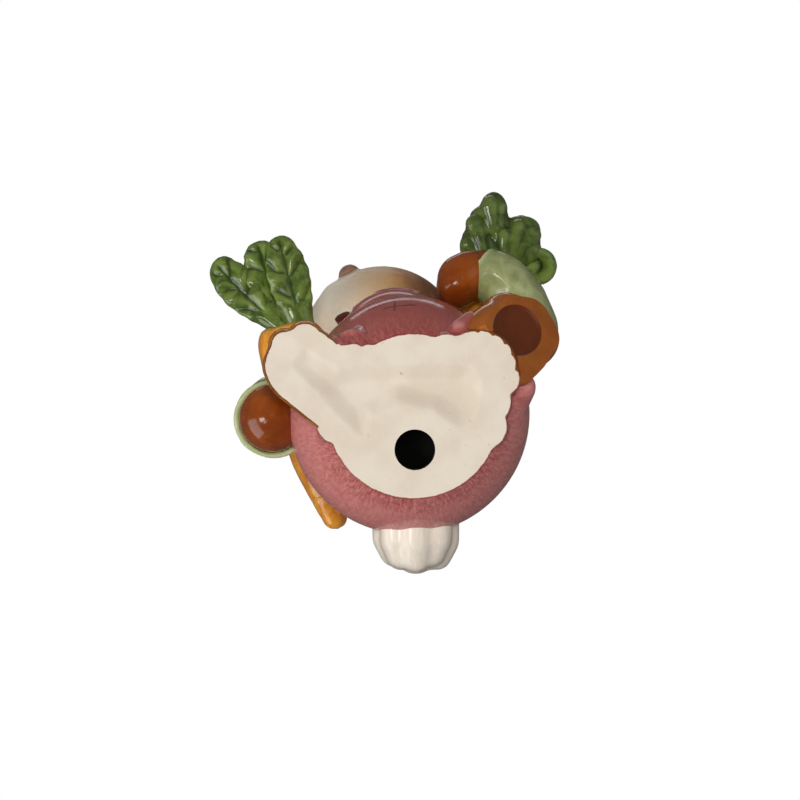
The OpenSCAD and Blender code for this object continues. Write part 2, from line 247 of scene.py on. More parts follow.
def markBare(piece, joined):
    # stands the piece on the table and marks how far inside its foot's free rim each point lies
    depth = cutFlat(piece, (0, 0, 0), (0, 0, -1))
    co, reach = getPoints(piece), bench["bareReach"]
    rim = np.flatnonzero((np.abs(depth) < bench["onTable"]) & ~joined(co))
    tree = kdtree.KDTree(len(rim))
    for k, i in enumerate(rim):
        tree.insert(co[i], k)
    tree.balance()
    inside = np.array([tree.find(p)[2] if d > bench["weld"] else d for p, d in zip(co, depth)])
    inside = np.where(joined(co) & (co[:, 2] < bench["bareHeight"]), reach, inside)
    setMark(piece, "bare", np.clip(inside, -reach, reach))


def settle(piece, material, node=None, sharp=None):
    # from millimetres to metres, with its finish, its body and what it stands for
    piece.data.transform(Matrix.Scale(bench["toMetres"], 4))
    piece.data.materials.clear()
    piece.data.materials.append(material)
    piece.data.shade_smooth()
    if sharp:
        piece.data.set_sharp_from_angle(angle=math.radians(sharp))
    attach(piece, "root")
    if node:
        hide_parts(node)
    print(piece.name, "has", len(piece.data.polygons), "faces")


# Glaze: node trees written as expressions

def tint(red, green, blue):
    # screen colour of 0 to 255 as the linear colour that nodes take
    def line(c):
        c /= 255
        return c / 12.92 if c <= 0.04045 else ((c + 0.055) / 1.055) ** 2.4
    return (line(red), line(green), line(blue), 1.0)


class Wire:
    def __init__(self, board, socket):
        self.board, self.socket = board, socket

    def __add__(self, other):
        return self.board.maths("ADD", self, other)

    def __radd__(self, other):
        return self.board.maths("ADD", other, self)

    def __sub__(self, other):
        return self.board.maths("SUBTRACT", self, other)

    def __rsub__(self, other):
        return self.board.maths("SUBTRACT", other, self)

    def __mul__(self, other):
        return self.board.maths("MULTIPLY", self, other)

    def __rmul__(self, other):
        return self.board.maths("MULTIPLY", other, self)

    def __truediv__(self, other):
        return self.board.maths("DIVIDE", self, other)

    def __rtruediv__(self, other):
        return self.board.maths("DIVIDE", other, self)

    def __pow__(self, other):
        return self.board.maths("POWER", self, other)

    def __rpow__(self, other):
        return self.board.maths("POWER", other, self)

    def ease(self, low, high):
        return self.board.node("ShaderNodeMapRange", {"interpolation_type": "SMOOTHSTEP"},
                               {"Value": self, "From Min": low, "From Max": high})

    def size(self):
        return self.board.maths("ABSOLUTE", self)


class Board:
    # a node tree, for a glaze or for the world
    def __init__(self, tree):
        self.tree = tree
        tree.nodes.clear()

    def connect(self, node, sockets):
        for key, value in sockets.items():
            if isinstance(value, Wire):
                self.tree.links.new(value.socket, node.inputs[key])
            else:
                node.inputs[key].default_value = value

    def node(self, kind, settings, sockets, out=0):
        # gives a wire from one of its outputs, or the node itself where out is None
        made = self.tree.nodes.new(kind)
        for key, value in settings.items():
            setattr(made, key, value)
        self.connect(made, sockets)
        return made if out is None else Wire(self, made.outputs[out])

    def maths(self, operation, first, second=0.0):
        return self.node("ShaderNodeMath", {"operation": operation}, {0: first, 1: second})

    def high(self, first, second):
        return self.maths("MAXIMUM", first, second)

    def low(self, first, second):
        return self.maths("MINIMUM", first, second)

    def vector(self, operation, sockets, out=0):
        return self.node("ShaderNodeVectorMath", {"operation": operation}, sockets, out)

    def place(self):
        # Object coordinates in millimetres
        spot = self.node("ShaderNodeTexCoord", {}, {}, "Object")
        return self.vector("SCALE", {0: spot, "Scale": 1000.0})

    def split(self, vector):
        made = self.node("ShaderNodeSeparateXYZ", {}, {0: vector}, None)
        return [Wire(self, socket) for socket in made.outputs]

    def join(self, x, y, z):
        return self.node("ShaderNodeCombineXYZ", {}, {0: x, 1: y, 2: z})

    def moved(self, vector, by):
        return self.vector("ADD", {0: vector, 1: by})

    def along(self, vector, way):
        return self.vector("DOT_PRODUCT", {0: vector, 1: tuple(way)}, "Value")

    def unit(self, vector):
        return self.vector("NORMALIZE", {0: vector})

    def mark(self, name):
        return self.node("ShaderNodeAttribute", {"attribute_name": name}, {}, "Fac")

    def cloud(self, vector, scale, detail=3.0, rough=0.55, warp=0.0):
        return self.node("ShaderNodeTexNoise", {}, {"Vector": vector, "Scale": scale,
                         "Detail": detail, "Roughness": rough, "Distortion": warp})


class Glaze(Board):
    def __init__(self, name, tints, sockets):
        self.material = bpy.data.materials.new(name)
        self.material.use_nodes = True
        super().__init__(self.material.node_tree)
        self.tints = tints
        sockets = {"Coat Roughness": 0.04, **sockets}
        self.shader = self.node("ShaderNodeBsdfPrincipled", {}, sockets, None)
        self.surface = Wire(self, self.shader.outputs[0])
        self.end = self.node("ShaderNodeOutputMaterial", {}, {"Surface": self.surface}, None)

    def mix(self, first, second, share):
        # a colour is a wire, a linear colour or the name of one of the glaze's tints
        first, second = (tint(*self.tints[c]) if isinstance(c, str) else c for c in (first, second))
        return self.node("ShaderNodeMix", {"data_type": "RGBA"}, {0: share, 6: first, 7: second}, 2)

    def layers(self, colour, *coats):
        # each coat is a colour and the share of it over what lies below
        for coat, share in coats:
            colour = self.mix(colour, coat, share)
        return colour

    def bump(self, height, strength, depth):
        return self.node("ShaderNodeBump", {}, {"Height": height, "Strength": strength,
                                                "Distance": depth / 1000}, "Normal")

    def fired(self, colour, gloss, *relief):
        # relief is a height, its strength and its depth in millimetres
        self.connect(self.shader, {"Base Color": colour, "Roughness": gloss})
        if relief:
            self.connect(self.shader, {"Normal": self.bump(*relief)})
        return self.material


bareClay = {
    "clay": (221, 209, 192),
    "clayStain": (214, 200, 181),
    "clayGrain": (227, 216, 200),
    "clayRust": (168, 130, 92),
}


def clayColour(glaze, spot):
    # bare earthenware with fine specks and a few rust spots
    grain = glaze.cloud(spot, 1.6, 5.0, 0.7)
    stain = glaze.cloud(spot, 0.09, 3.0, 0.5)
    specks = glaze.cloud(spot, 0.75, 2.0, 0.5).ease(0.71, 0.78)
    colour = glaze.layers(
        "clay", ("clayStain", stain.ease(0.35, 0.65)),
        ("clayGrain", grain.ease(0.5, 0.75) * 0.45),
        ("clayRust", specks * 0.55))
    return colour, grain


# Body: rose dungarees over a green shirt, the base and its vent

body = {
    "belly": ((0, 0, 24), 34.1),
    "narrow": ((0.115, 8, 24), (0.017, 0, 34)),  # share lost in front, across and in depth
    "narrowBelow": (44, 34),
    "baseBelow": 24,
    "baseShift": (1.25, 0.4),
    "baseScale": (0.955, 0.925),
    "chest": ((-3.3, -14.3, 48), (19.8, 22, 22)),
    "rightLeg": ((-7, -4.6, 14), (-17.8, -10, 8.5), 15, 12.2),
    "leftLeg": ((6, -4, 10), (19, -12.5, 4.5), 14, 11.3),
    "rings": {  # middle, axis, radius, thickness
        "rightHem": ((-18.7, -10.1, 12.2), (-0.899, -0.438, 0), 12.6, 3.0),
        "leftHem": ((23.8, -16.7, 11.2), (0.77, -0.63, 0), 9.5, 2.6),
        "rightRoll": ((-15.6, -18.2, 3.8), (0.05, 0.28, 1), 3.9, 1.3),
    },
    "folds": {  # start, end, their radii
        "right": ((-15.0, -17.0, 9.8), (-9, -13, 15), 3.0, 4.0),
        "rightGusset": ((-11.0, -15.5, 2.4), (-8, -10, 8), 4.1, 6.0),
        "leftGusset": ((10.4, -17.6, 2.2), (8, -10, 8), 4.7, 6.0),
        "sideGusset": ((22.2, -3.4, 2.2), (14, -2, 8), 5.9, 7.0),
        "heelGusset": ((-20.5, 3.2, 2.4), (-12, 3, 8), 5.0, 7.0),
        "hipGusset": ((20.8, 3.4, 2.4), (14, 3, 8), 6.3, 7.0),
        "kneeGusset": ((25.2, -10.0, 2.2), (18, -8, 8), 5.4, 6.0),
        "left": ((30.8, -7.4, 8.4), (27.4, 1.0, 18), 4.2, 4.2),
        "leftRoll": ((14.0, -23.6, 4.6), (17.0, -26.2, 8.2), 2.3, 2.1),
    },
    "rough": (1.1, 8),
    "fine": (0.55, 7),
    "sharp": 50,
    "vent": (1.6, 9.8, 5.6),  # x, y, radius
    "ventReach": (-5, 12),
    "recess": [(-33.0, -13.8), (-28.6, -18.6), (-19.4, -13.2), (-6.2, -14.4), (17.2, -14.2),
               (20.6, -8.6), (18.9, 0.4), (14.4, 4.6), (6.5, -0.6), (-3, -3.2), (-9.6, 0.6),
               (-12.4, 6.8), (-17.4, 3.1), (-25.7, -6.3)],
    "recessDepth": 2.9,
    "recessWall": 5.0,
    "recessRound": 0.6,
    "footRoom": (1.5, 0.5, 2.0),  # drawn in by, over this stretch of the right sole
    "waist": 44,
    "waistDip": 2,
    "bibTop": 60,
    "bibHalf": (40, 9),  # degrees at the waist and lost on the way up
    "bibRadius": 20,
    "strap": (9.5, 2.6),  # offset, half width
    "strapFrom": (-14, 50),
    "relief": 0.8,
    "pocketRelief": 0.5,
    "sunk": 0.4,
    "seams": [(15.2, -7.5, 4.6), (12.3, -2.6, 5.2)],  # height, middle, half length
    "fly": (-4.0, 12.9, 3.4),
    "pocket": (6.6, 46.6, 53.8),  # half width, bottom, top
    "pocketFront": -20,
    "markReach": 4,
    "tints": {
        "deep": (184, 102, 97), "light": (210, 138, 132), "haze": (196, 124, 120),
        "grain": (160, 80, 78), "low": (140, 58, 54), "front": (152, 70, 62),
        "thin": (216, 160, 154), "pooled": (112, 36, 34), "seam": (86, 50, 48),
        "stitch": (110, 46, 46), "shirtDeep": (118, 124, 78), "shirtLight": (158, 163, 112),
        "run": (124, 66, 26), "shore": (120, 40, 38), "runShore": (110, 56, 20),
        "vent": (4, 4, 3),
    },
}


def clothEdge(co):
    # millimetres inside the edge of the dungarees, negative on the shirt
    cx, cy, _ = body["chest"][0]
    x, y, z = co[:, 0] - cx, co[:, 1] - cy, co[:, 2]
    angle = np.arctan2(x, -y)
    waist = body["waist"] - body["waistDip"] * np.cos(angle) - z
    rise = np.clip((z - body["waist"]) / (body["bibTop"] - body["waist"]), 0, 1)
    half, lost = (math.radians(a) for a in body["bibHalf"])
    bib = np.minimum((half - lost * rise - np.abs(angle)) * body["bibRadius"], body["bibTop"] - z)
    (offset, strapHalf), (back, top) = body["strap"], body["strapFrom"]
    strap = np.where((y > back) | (z > top), strapHalf - np.abs(np.abs(x) - offset), -9)
    return np.maximum(np.maximum(waist, bib), strap)


def baseSink(co):
    # how far the base is sunk, by its distance inside the outline of the recess
    flat, corners, soft = co * (1, 1, 0), body["recess"], body["recessRound"]
    near, within = np.zeros(len(co)), np.zeros(len(co), bool)
    for (ax, ay), (bx, by) in zip(corners, corners[1:] + corners[:1]):
        near += np.exp(-lineGap(flat, (ax, ay, 0), (bx, by, 0)) / soft)
        level = (ay > co[:, 1]) != (by > co[:, 1])
        within ^= level & (co[:, 0] < ax + (bx - ax) * (co[:, 1] - ay) / (by - ay + 1e-9))
    # a soft least distance, so the walls meet in rounded corners
    gap = np.where(within, -soft * np.log(near), 0)
    share = np.clip(gap / body["recessWall"], 0, 1)
    return body["recessDepth"] * (share + ease(share, 0, 1)) / 2


def rightSole(co):
    # millimetres inside the right foot's outline on the table
    start, end, radius = rightFoot["sole"]
    gap = lineGap(co * (1, 1, 0), (*start[:2], 0), (*end[:2], 0))
    return radius - rightFoot["soleInset"] - gap


def makeBody():
    clay = bmesh.new()
    addBall(clay, *body["belly"])
    # narrower in front, and its foot stands a little to one side
    (shiftX, shiftY), (scaleX, scaleY) = body["baseShift"], body["baseScale"]
    (lostX, *frontX), (lostY, *frontY) = body["narrow"]
    for dot in clay.verts:
        x, y, z = dot.co
        low, foot = ease(z, *body["narrowBelow"]), ease(z, body["baseBelow"], 0)
        x *= (1 - lostX * ease(-y, *frontX) * low) * (1 - (1 - scaleX) * foot)
        y *= (1 - lostY * ease(-y, *frontY) * low) * (1 - (1 - scaleY) * foot)
        dot.co = (x + shiftX * foot, y + shiftY * foot, z)
    addBall(clay, *body["chest"])
    addLimb(clay, *body["rightLeg"])
    addLimb(clay, *body["leftLeg"])
    clay = layIn(bmesh.new(), fused("dungarees", clay, body["rough"]))
    for ring in body["rings"].values():
        addRing(clay, *ring)
    for fold in body["folds"].values():
        addLimb(clay, *fold)
    piece = fused("dungarees", clay, body["fine"])
    co, reach = getPoints(piece), body["markReach"]
    x, y, z = co.T
    edge = clothEdge(co)
    half, low, high = body["pocket"]
    pocket = np.minimum(half - np.abs(x - body["chest"][0][0]), np.minimum(z - low, high - z))
    pocket = np.where(y < body["pocketFront"], np.clip(pocket, -reach, reach), -reach)
    swell(piece, body["relief"] * ease(edge, -0.5, 0.5)
          + body["pocketRelief"] * ease(pocket, -0.3, 0.3) - body["sunk"])
    setMark(piece, "cloth", np.clip(edge, -reach, reach))
    setMark(piece, "pocket", pocket)
    markBare(piece, lambda co: rightSole(co) > 0.2)
    pooled(piece)
    # drawn in where the right foot's own clay shows
    co = getPoints(piece)
    room, *stretch = body["footRoom"]
    co[:, 2] = np.maximum(co[:, 2], baseSink(co) + room * ease(rightSole(co), *stretch))
    setPoints(piece, co)
    # the vent opens into the hollow
    ventX, ventY, ventR = body["vent"]
    low, high = body["ventReach"]
    return drilled(piece, (ventX, ventY, low), (ventX, ventY, high), ventR, ventR)


def bodyGlaze():
    glaze = Glaze("roseGlaze", {**bareClay, **body["tints"]}, {"Specular IOR Level": 0.3})
    spot = glaze.place()
    x, y, z = glaze.split(spot)
    nx, ny, _ = glaze.split(glaze.unit(glaze.join(x, y, 0.0)))
    radius = (x * x + y * y) ** 0.5
    bare, cloth, pool = glaze.mark("bare"), glaze.mark("cloth"), glaze.mark("pool")
    # short brush strokes run up the cloth
    drift = glaze.cloud(spot, 0.12, 2.0) * 3.0
    climb = (radius + z) * 0.17
    strokes = glaze.cloud(glaze.join(nx * 24 + drift, ny * 24 + drift, climb), 1.5, 5.0, 0.72)
    broad = glaze.cloud(spot, 0.09, 4.0, 0.6)
    fine = glaze.cloud(spot, 1.1, 4.0, 0.7)
    rose = glaze.layers(
        "deep", ("light", strokes.ease(0.28, 0.74)),
        ("haze", broad.ease(0.4, 0.7) * 0.5),
        ("grain", fine.ease(0.55, 0.75) * 0.3),
        ("low", z.ease(8.0, 0.4) * strokes.ease(0.72, 0.3) * 0.75),
        # the front of the belly is painted darker, as painted shade
        ("front", y.ease(-12.0, -30.0) * 0.75),
        ("thin", pool.ease(0.56, 0.8) * 0.6),
        ("pooled", pool.ease(0.46, 0.25) * 0.85))
    # painted seam on the front of the trousers
    wave = (glaze.cloud(spot, 0.3, 2.0) - 0.5) * 0.9
    flyX, flyZ, half = body["fly"]
    seams = (x + wave - flyX).size().ease(0.5, 0.15) * (z - flyZ).size().ease(half, half - 1.0)
    for seamZ, seamX, half in body["seams"]:
        line = (z + wave - seamZ).size().ease(0.5, 0.15)
        seams = glaze.high(seams, line * (x - seamX).size().ease(half, half - 1.2))
    stitch = ((cloth - 1.3).size() - 0.12).ease(0.22, 0.0) * z.ease(44.0, 47.0)
    hem = ((glaze.mark("pocket") - 1.0).size() - 0.12).ease(0.22, 0.0)
    rose = glaze.layers(
        rose, ("seam", seams * y.ease(-22.0, -26.0) * 0.7),
        ("stitch", glaze.high(stitch, hem) * 0.7))
    mottle = glaze.cloud(spot, 0.3, 4.0, 0.6)
    green = glaze.mix("shirtDeep", "shirtLight", mottle.ease(0.3, 0.7))
    # the foot's glaze has run onto the end of the left leg
    (lx, ly, _), way = body["leftLeg"][1], leftFoot["way"]
    run = ((x - lx) * way[0] + (y - ly) * way[1]).ease(2.5, 4.5) * z.ease(6.0, 5.0)
    beside = (x - lx) * way[1] - (y - ly) * way[0]
    run = run * beside.ease(-9.0, -7.0) * beside.ease(11.5, 9.5)
    # the glaze's edge is uneven, and scalloped at the left foot
    wander = (glaze.cloud(spot, 0.42, 2.0) - 0.5) * 0.6
    angle = glaze.maths("ARCTAN2", y - ly, x - lx) * 8 + wander * 4
    shore = bare + wander - 0.1 - run * (1 - glaze.maths("SINE", angle).size()) * 0.6
    raw = shore.ease(0.0, 0.16)
    clay, grain = clayColour(glaze, spot)
    ventX, ventY, ventR = body["vent"]
    gap = ((x - ventX) ** 2.0 + (y - ventY) ** 2.0) ** 0.5
    # near black on the vent's inner wall: painted shade inside the hollow
    dark = gap.ease(ventR + 0.08, ventR - 0.02) * z.ease(0.15, 0.5) * z.ease(14.0, 13.0)
    colour = glaze.layers(
        green, (rose, cloth.ease(-0.12, 0.12)),
        ("run", run),
        (glaze.mix("shore", "runShore", run), shore.ease(-0.7, 0.0) * 0.6),
        (clay, raw),
        ("vent", dark))
    height = strokes * 0.35 * (1 - raw) + grain * raw
    return glaze.fired(colour, raw * 0.46 + 0.15 + (strokes - 0.5) * 0.08, height, 0.25, 0.25)


# Feet: the right one stands, the left one is raised and shows its sole

rightFoot = {
    "sole": ((-29.0, -13.3, 3), (-19.5, -5.6, 3), 11.2),
    "soleInset": 0.7,
    "ankle": ((-22, -9, 8), (11, 10, 9)),
    "toes": [((-34.0, -13.2, 3), 6.6), ((-34.4, -19.2, 3), 4.6), ((-28.6, -20.6, 3), 5.4)],
    "toeHeight": 1.15,
    "underBody": (9.3, 22.6, 4.1),  # reach under the leg, the belly and the heel
    "below": 0.02,
    "fine": (0.45, 4),
    "sharp": 50,
    "tints": {"light": (176, 104, 36), "deep": (134, 72, 22), "pale": (196, 128, 54)},
}
leftFoot = {
    "heel": (25.6, -16.6, 0),
    "way": (0.839, -0.545, 0),
    "tilt": 46,
    "depth": 6.3,
    "body": (10.4, 2.6, (12.0, 16.8, 11)),
    "side": [((37.7, -19.2, 11.6), 3.7), ((34.8, -16.6, 8.0), 4.6), ((30.6, -11.2, 3.4), 3.6)],
    "toes": [(15.8, 8.4, 5.6, 7.0), (20.0, 3.4, 5.6, 8.4), (19.4, -0.8, 5.8, 8.7)],
    "toeDepth": 1.1,
    "pad": (11.0, 3.2, 7.4, 10.0, 0.6),  # up, aside, half width, half length, sunk by
    "soleSkin": -0.6,
    "lift": 0.5,
    "rough": (0.8, 36),
    "fine": (0.5, 12),
    "sharp": 60,
    "tints": {"light": (164, 92, 34), "deep": (146, 78, 26), "pale": (180, 112, 52)},
}
fur = {
    "pooled": (42, 18, 6),
    "pad": (100, 42, 12),
    "padDeep": (86, 34, 9),
    "shore": (72, 38, 12),
}


def underBody(co):
    # where the foot's outline runs across the body's own base
    middles = (body["rightLeg"][1], body["baseShift"], body["folds"]["heelGusset"][0])
    return np.any([np.hypot(co[:, 0] - at[0], co[:, 1] - at[1]) < reach
                   for at, reach in zip(middles, rightFoot["underBody"])], axis=0)


def makeRightFoot():
    clay = bmesh.new()
    start, end, radius = rightFoot["sole"]
    addLimb(clay, start, end, radius, radius)
    for at, size in rightFoot["toes"]:
        addBall(clay, at, (size, size, size * rightFoot["toeHeight"]))
    addBall(clay, *rightFoot["ankle"])
    piece = fused("rightFoot", clay, rightFoot["fine"])
    markBare(piece, underBody)
    pooled(piece)
    co = getPoints(piece)
    sink = baseSink(co)
    low = co[:, 2] < sink + bench["weld"]
    co[:, 2] = np.maximum(co[:, 2], sink) - np.where(low, rightFoot["below"], 0)
    setPoints(piece, co)
    return piece


def leftFootFrame():
    way, tilt = Vector(leftFoot["way"]).normalized(), math.radians(leftFoot["tilt"])
    toe = way * math.cos(tilt) + Vector((0, 0, math.sin(tilt)))
    sole = way * math.sin(tilt) - Vector((0, 0, math.cos(tilt)))
    return Vector(leftFoot["heel"]), Vector((way.y, -way.x, 0)), toe, sole


def makeLeftFoot():
    heel, across, toe, sole = leftFootFrame()
    turn = axes(across, toe, sole)
    clay = bmesh.new()
    along, side, size = leftFoot["body"]
    addBall(clay, heel + toe * along + across * side - sole * leftFoot["depth"], size, turn)
    for up, side, deep, r in leftFoot["toes"]:
        at = heel + toe * up + across * side - sole * deep
        addBall(clay, at, (r, r, r * leftFoot["toeDepth"]), turn)
    clay = layIn(bmesh.new(), fused("leftFoot", clay, leftFoot["rough"]))
    addChain(clay, *leftFoot["side"])
    piece = fused("leftFoot", clay, leftFoot["fine"])
    cutFlat(piece, heel, sole)
    cutFlat(piece, (0, 0, leftFoot["lift"]), (0, 0, -1))
    co = getPoints(piece)
    local = (co - np.array(heel)) @ np.array([across, toe, sole]).T
    up, side, wide, long, lift = leftFoot["pad"]
    inside = 1 - np.hypot((local[:, 0] - side) / wide, (local[:, 1] - up) / long)
    on = local[:, 2] > leftFoot["soleSkin"]
    setPoints(piece, co - np.outer(np.where(on, lift * ease(inside, 0, 0.1), 0), np.array(sole)))
    setMark(piece, "pad", np.where(on, inside * wide, -5))
    co = getPoints(piece)
    co[:, 2] = np.maximum(co[:, 2], baseSink(co) + leftFoot["lift"])
    setPoints(piece, co)
    return pooled(piece)


def furGlaze(name, tints, withClay=False, withPad=False):
    glaze = Glaze(name, {**bareClay, **fur, **tints}, {})
    spot, pool = glaze.place(), glaze.mark("pool")
    drift = glaze.cloud(spot, 0.1, 3.0)
    fine = glaze.cloud(spot, 0.55, 4.0, 0.6)
    colour = glaze.layers(
        "deep", ("light", drift.ease(0.32, 0.68)),
        ("pale", fine.ease(0.52, 0.8) * 0.22),
        ("pale", pool.ease(0.57, 0.85) * 0.6),
        ("pooled", pool.ease(0.45, 0.2) * 0.8))
    gloss, height = 0.11 + fine * 0.06, fine
    if withPad:
        pad = glaze.mix("pad", "padDeep", drift.ease(0.35, 0.65))
        colour = glaze.mix(colour, pad, glaze.mark("pad").ease(-0.12, 0.2) * 0.95)
    if withClay:
        clay, grain = clayColour(glaze, spot)
        shore = glaze.mark("bare") + (glaze.cloud(spot, 0.5, 2.0) - 0.5) * 0.5 - 0.4
        raw = shore.ease(0.0, 0.16)
        colour = glaze.layers(colour, ("shore", shore.ease(-0.5, -0.05) * 0.85), (clay, raw))
        gloss = raw * 0.5 + gloss
        height = fine * (1 - raw) + grain * raw
    return glaze.fired(colour, gloss, height, 0.12, 0.2)


# Tail: a tuft of soft lobes

tail = {
    "at": (2, 26),
    "start": 27,
    "end": 40.0,
    "lobes": 8,
    "ring": 7.6,
    "lobe": 4.9,
    "wave": (0.8, 3, 0.6),
    "bend": 4,
    "inward": 1.6,
    "taper": 0.9,
    "tips": 6,
    "tip": ((4.2, 38), (4, 41.2), 3.8, 3.4),
    "core": (9.6, 6),
    "seat": 33.0,
    "passes": ((0.6, 18), (0.45, 5)),
    "tints": {"cream": (221, 209, 192), "light": (228, 217, 202), "pooled": (196, 172, 144)},
}


def makeTail():
    clay = bmesh.new()
    cx, cz = tail["at"]

    def spot(turn, ring, y):
        return (cx + ring * math.cos(turn), y, cz + ring * math.sin(turn))

    ring, lobe, (swing, waves, phase) = tail["ring"], tail["lobe"], tail["wave"]
    for k in range(tail["lobes"]):
        turn = 2 * math.pi * k / tail["lobes"]
        reach = tail["end"] + swing * math.sin(waves * turn + phase)
        bend = spot(turn, ring, reach - tail["bend"])
        addChain(clay, (spot(turn, ring, tail["start"]), lobe), (bend, lobe),
                 (spot(turn, ring - tail["inward"], reach), lobe * tail["taper"]))
    low, high, lowRadius, highRadius = tail["tip"]
    for k in range(tail["tips"]):
        turn = 2 * math.pi * (k + 0.5) / tail["tips"]
        addLimb(clay, spot(turn, *low), spot(turn, *high), lowRadius, highRadius)
    addLimb(clay, (cx, tail["start"], cz), (cx, tail["end"], cz), *tail["core"])
    piece = fused("tail", clay, *tail["passes"])
    # seated on the belly
    co = getPoints(piece)
    gap = tail["seat"] - np.linalg.norm(co - np.array(body["belly"][0]), axis=1)
    co[:, 1] += np.maximum(gap, 0)
    setPoints(piece, co)
    return pooled(piece)


def tailGlaze():
    glaze = Glaze("creamGlaze", tail["tints"], {"Coat Weight": 0.2})
    x, y, z = glaze.split(glaze.place())
    hairs = glaze.cloud(glaze.join(x, y * 0.12, z), 1.4, 4.0, 0.6)
    colour = glaze.layers(
        "cream", ("light", hairs.ease(0.3, 0.7)),
        ("pooled", glaze.mark("pool").ease(0.47, 0.28) * 0.7))
    return glaze.fired(colour, 0.2 + hairs * 0.12, hairs, 0.08, 0.2)


# Head: turned to the hare's right, cream in the face and brown around it

head = {
    "at": (-8, -20.6, 83),
    "radius": 24.8,
    "turn": 25,
    "lean": 20,
    "cheeks": (44, -16, 15.6, 9.8),  # degrees aside and up, reach, size
    "pads": (14, -15, 16.4, 9.0),
    "nose": (0, 1, 24.6, (3.5, 2.9, 3.0)),
    "noseMark": (0.9, 3.9),
    "mouth": (12.6, -56.8, -73, -58.8, 2.2),  # half width, top, bottom, corners, depth
    "mouthReach": 1.3,
    "mask": (-6, 2, 31, 9),  # middle, full half, faded half, brow
    "rough": (0.8, 10),
    "fine": (0.5, 8),
    "tints": {
        "brown": (80, 40, 19), "brownLight": (118, 66, 31), "tan": (208, 162, 106),
        "cream": (236, 221, 201), "creamLight": (242, 230, 213), "blush": (196, 112, 92),
        "freckle": (120, 82, 52), "pooled": (124, 84, 58), "nose": (140, 104, 84),
        "noseLight": (168, 130, 108), "lip": (42, 18, 13), "mouth": (78, 26, 22),
        "mouthLight": (106, 42, 36),
    },
}


def faceFrame(lean=head["lean"]):
    turn = math.radians(head["turn"])
    ahead = Vector((-math.sin(turn), -math.cos(turn), 0))
    left, top = Vector((math.cos(turn), -math.sin(turn), 0)), Vector((0, 0, 1))
    c, s = math.cos(math.radians(lean)), math.sin(math.radians(lean))
    return ahead, left * c - top * s, top * c + left * s


def faceWay(side, up):
    # direction from the head's middle, by degrees to the hare's left and upwards
    ahead, left, top = faceFrame()
    a, e = math.radians(side), math.radians(up)
    return (ahead * math.cos(a) + left * math.sin(a)) * math.cos(e) + top * math.sin(e)


def faceTurn(side, up):
    # left along X, up along Y, out of the face along Z
    out = faceWay(side, up)
    left = faceFrame()[2].cross(out).normalized()
    return axes(left, out.cross(left), out)


def makeHead():
    centre = Vector(head["at"])
    clay = bmesh.new()
    addBall(clay, centre, head["radius"])
    for side, up, reach, size in (head["cheeks"], head["pads"]):
        for s in (-1, 1):
            addBall(clay, centre + faceWay(s * side, up) * reach, size)
    clay = layIn(bmesh.new(), fused("head", clay, head["rough"]))
    side, up, reach, size = head["nose"]
    addBall(clay, centre + faceWay(side, up) * reach, size, faceTurn(side, up))
    piece = fused("head", clay, head["fine"])
    co = getPoints(piece)
    ahead, left, top = (np.array(v) for v in faceFrame())
    rel = co - np.array(centre)
    unit = rel / np.linalg.norm(rel, axis=1)[:, None]
    azimuth = np.degrees(np.arctan2(unit @ left, unit @ ahead))
    height = np.degrees(np.arcsin(np.clip(unit @ top, -1, 1)))
    # smiling mouth, between two arcs that meet at its corners
    half, upper, lower, corner, depth = head["mouth"]
    t = np.clip(np.abs(azimuth) / half, 0, head["mouthReach"]) ** 4
    gape = np.minimum(upper + (corner - upper) * t - height,
                      height - lower - (corner - lower) * t)
    gape = np.where(np.abs(azimuth) < head["mouthReach"] * half, gape, -30)
    gape = gape * head["radius"] * math.pi / 180
    swell(piece, -depth * ease(gape, -0.2, 1.4))
    setMark(piece, "mouth", np.clip(gape, -4, 4))
    proud, spread = head["noseMark"]
    tip = centre + faceWay(side, up) * (head["radius"] + proud)
    setMark(piece, "nose", spread - np.linalg.norm(co - np.array(tip), axis=1))
    setMark(piece, "azimuth", azimuth)
    setMark(piece, "height", height)
    return pooled(piece)


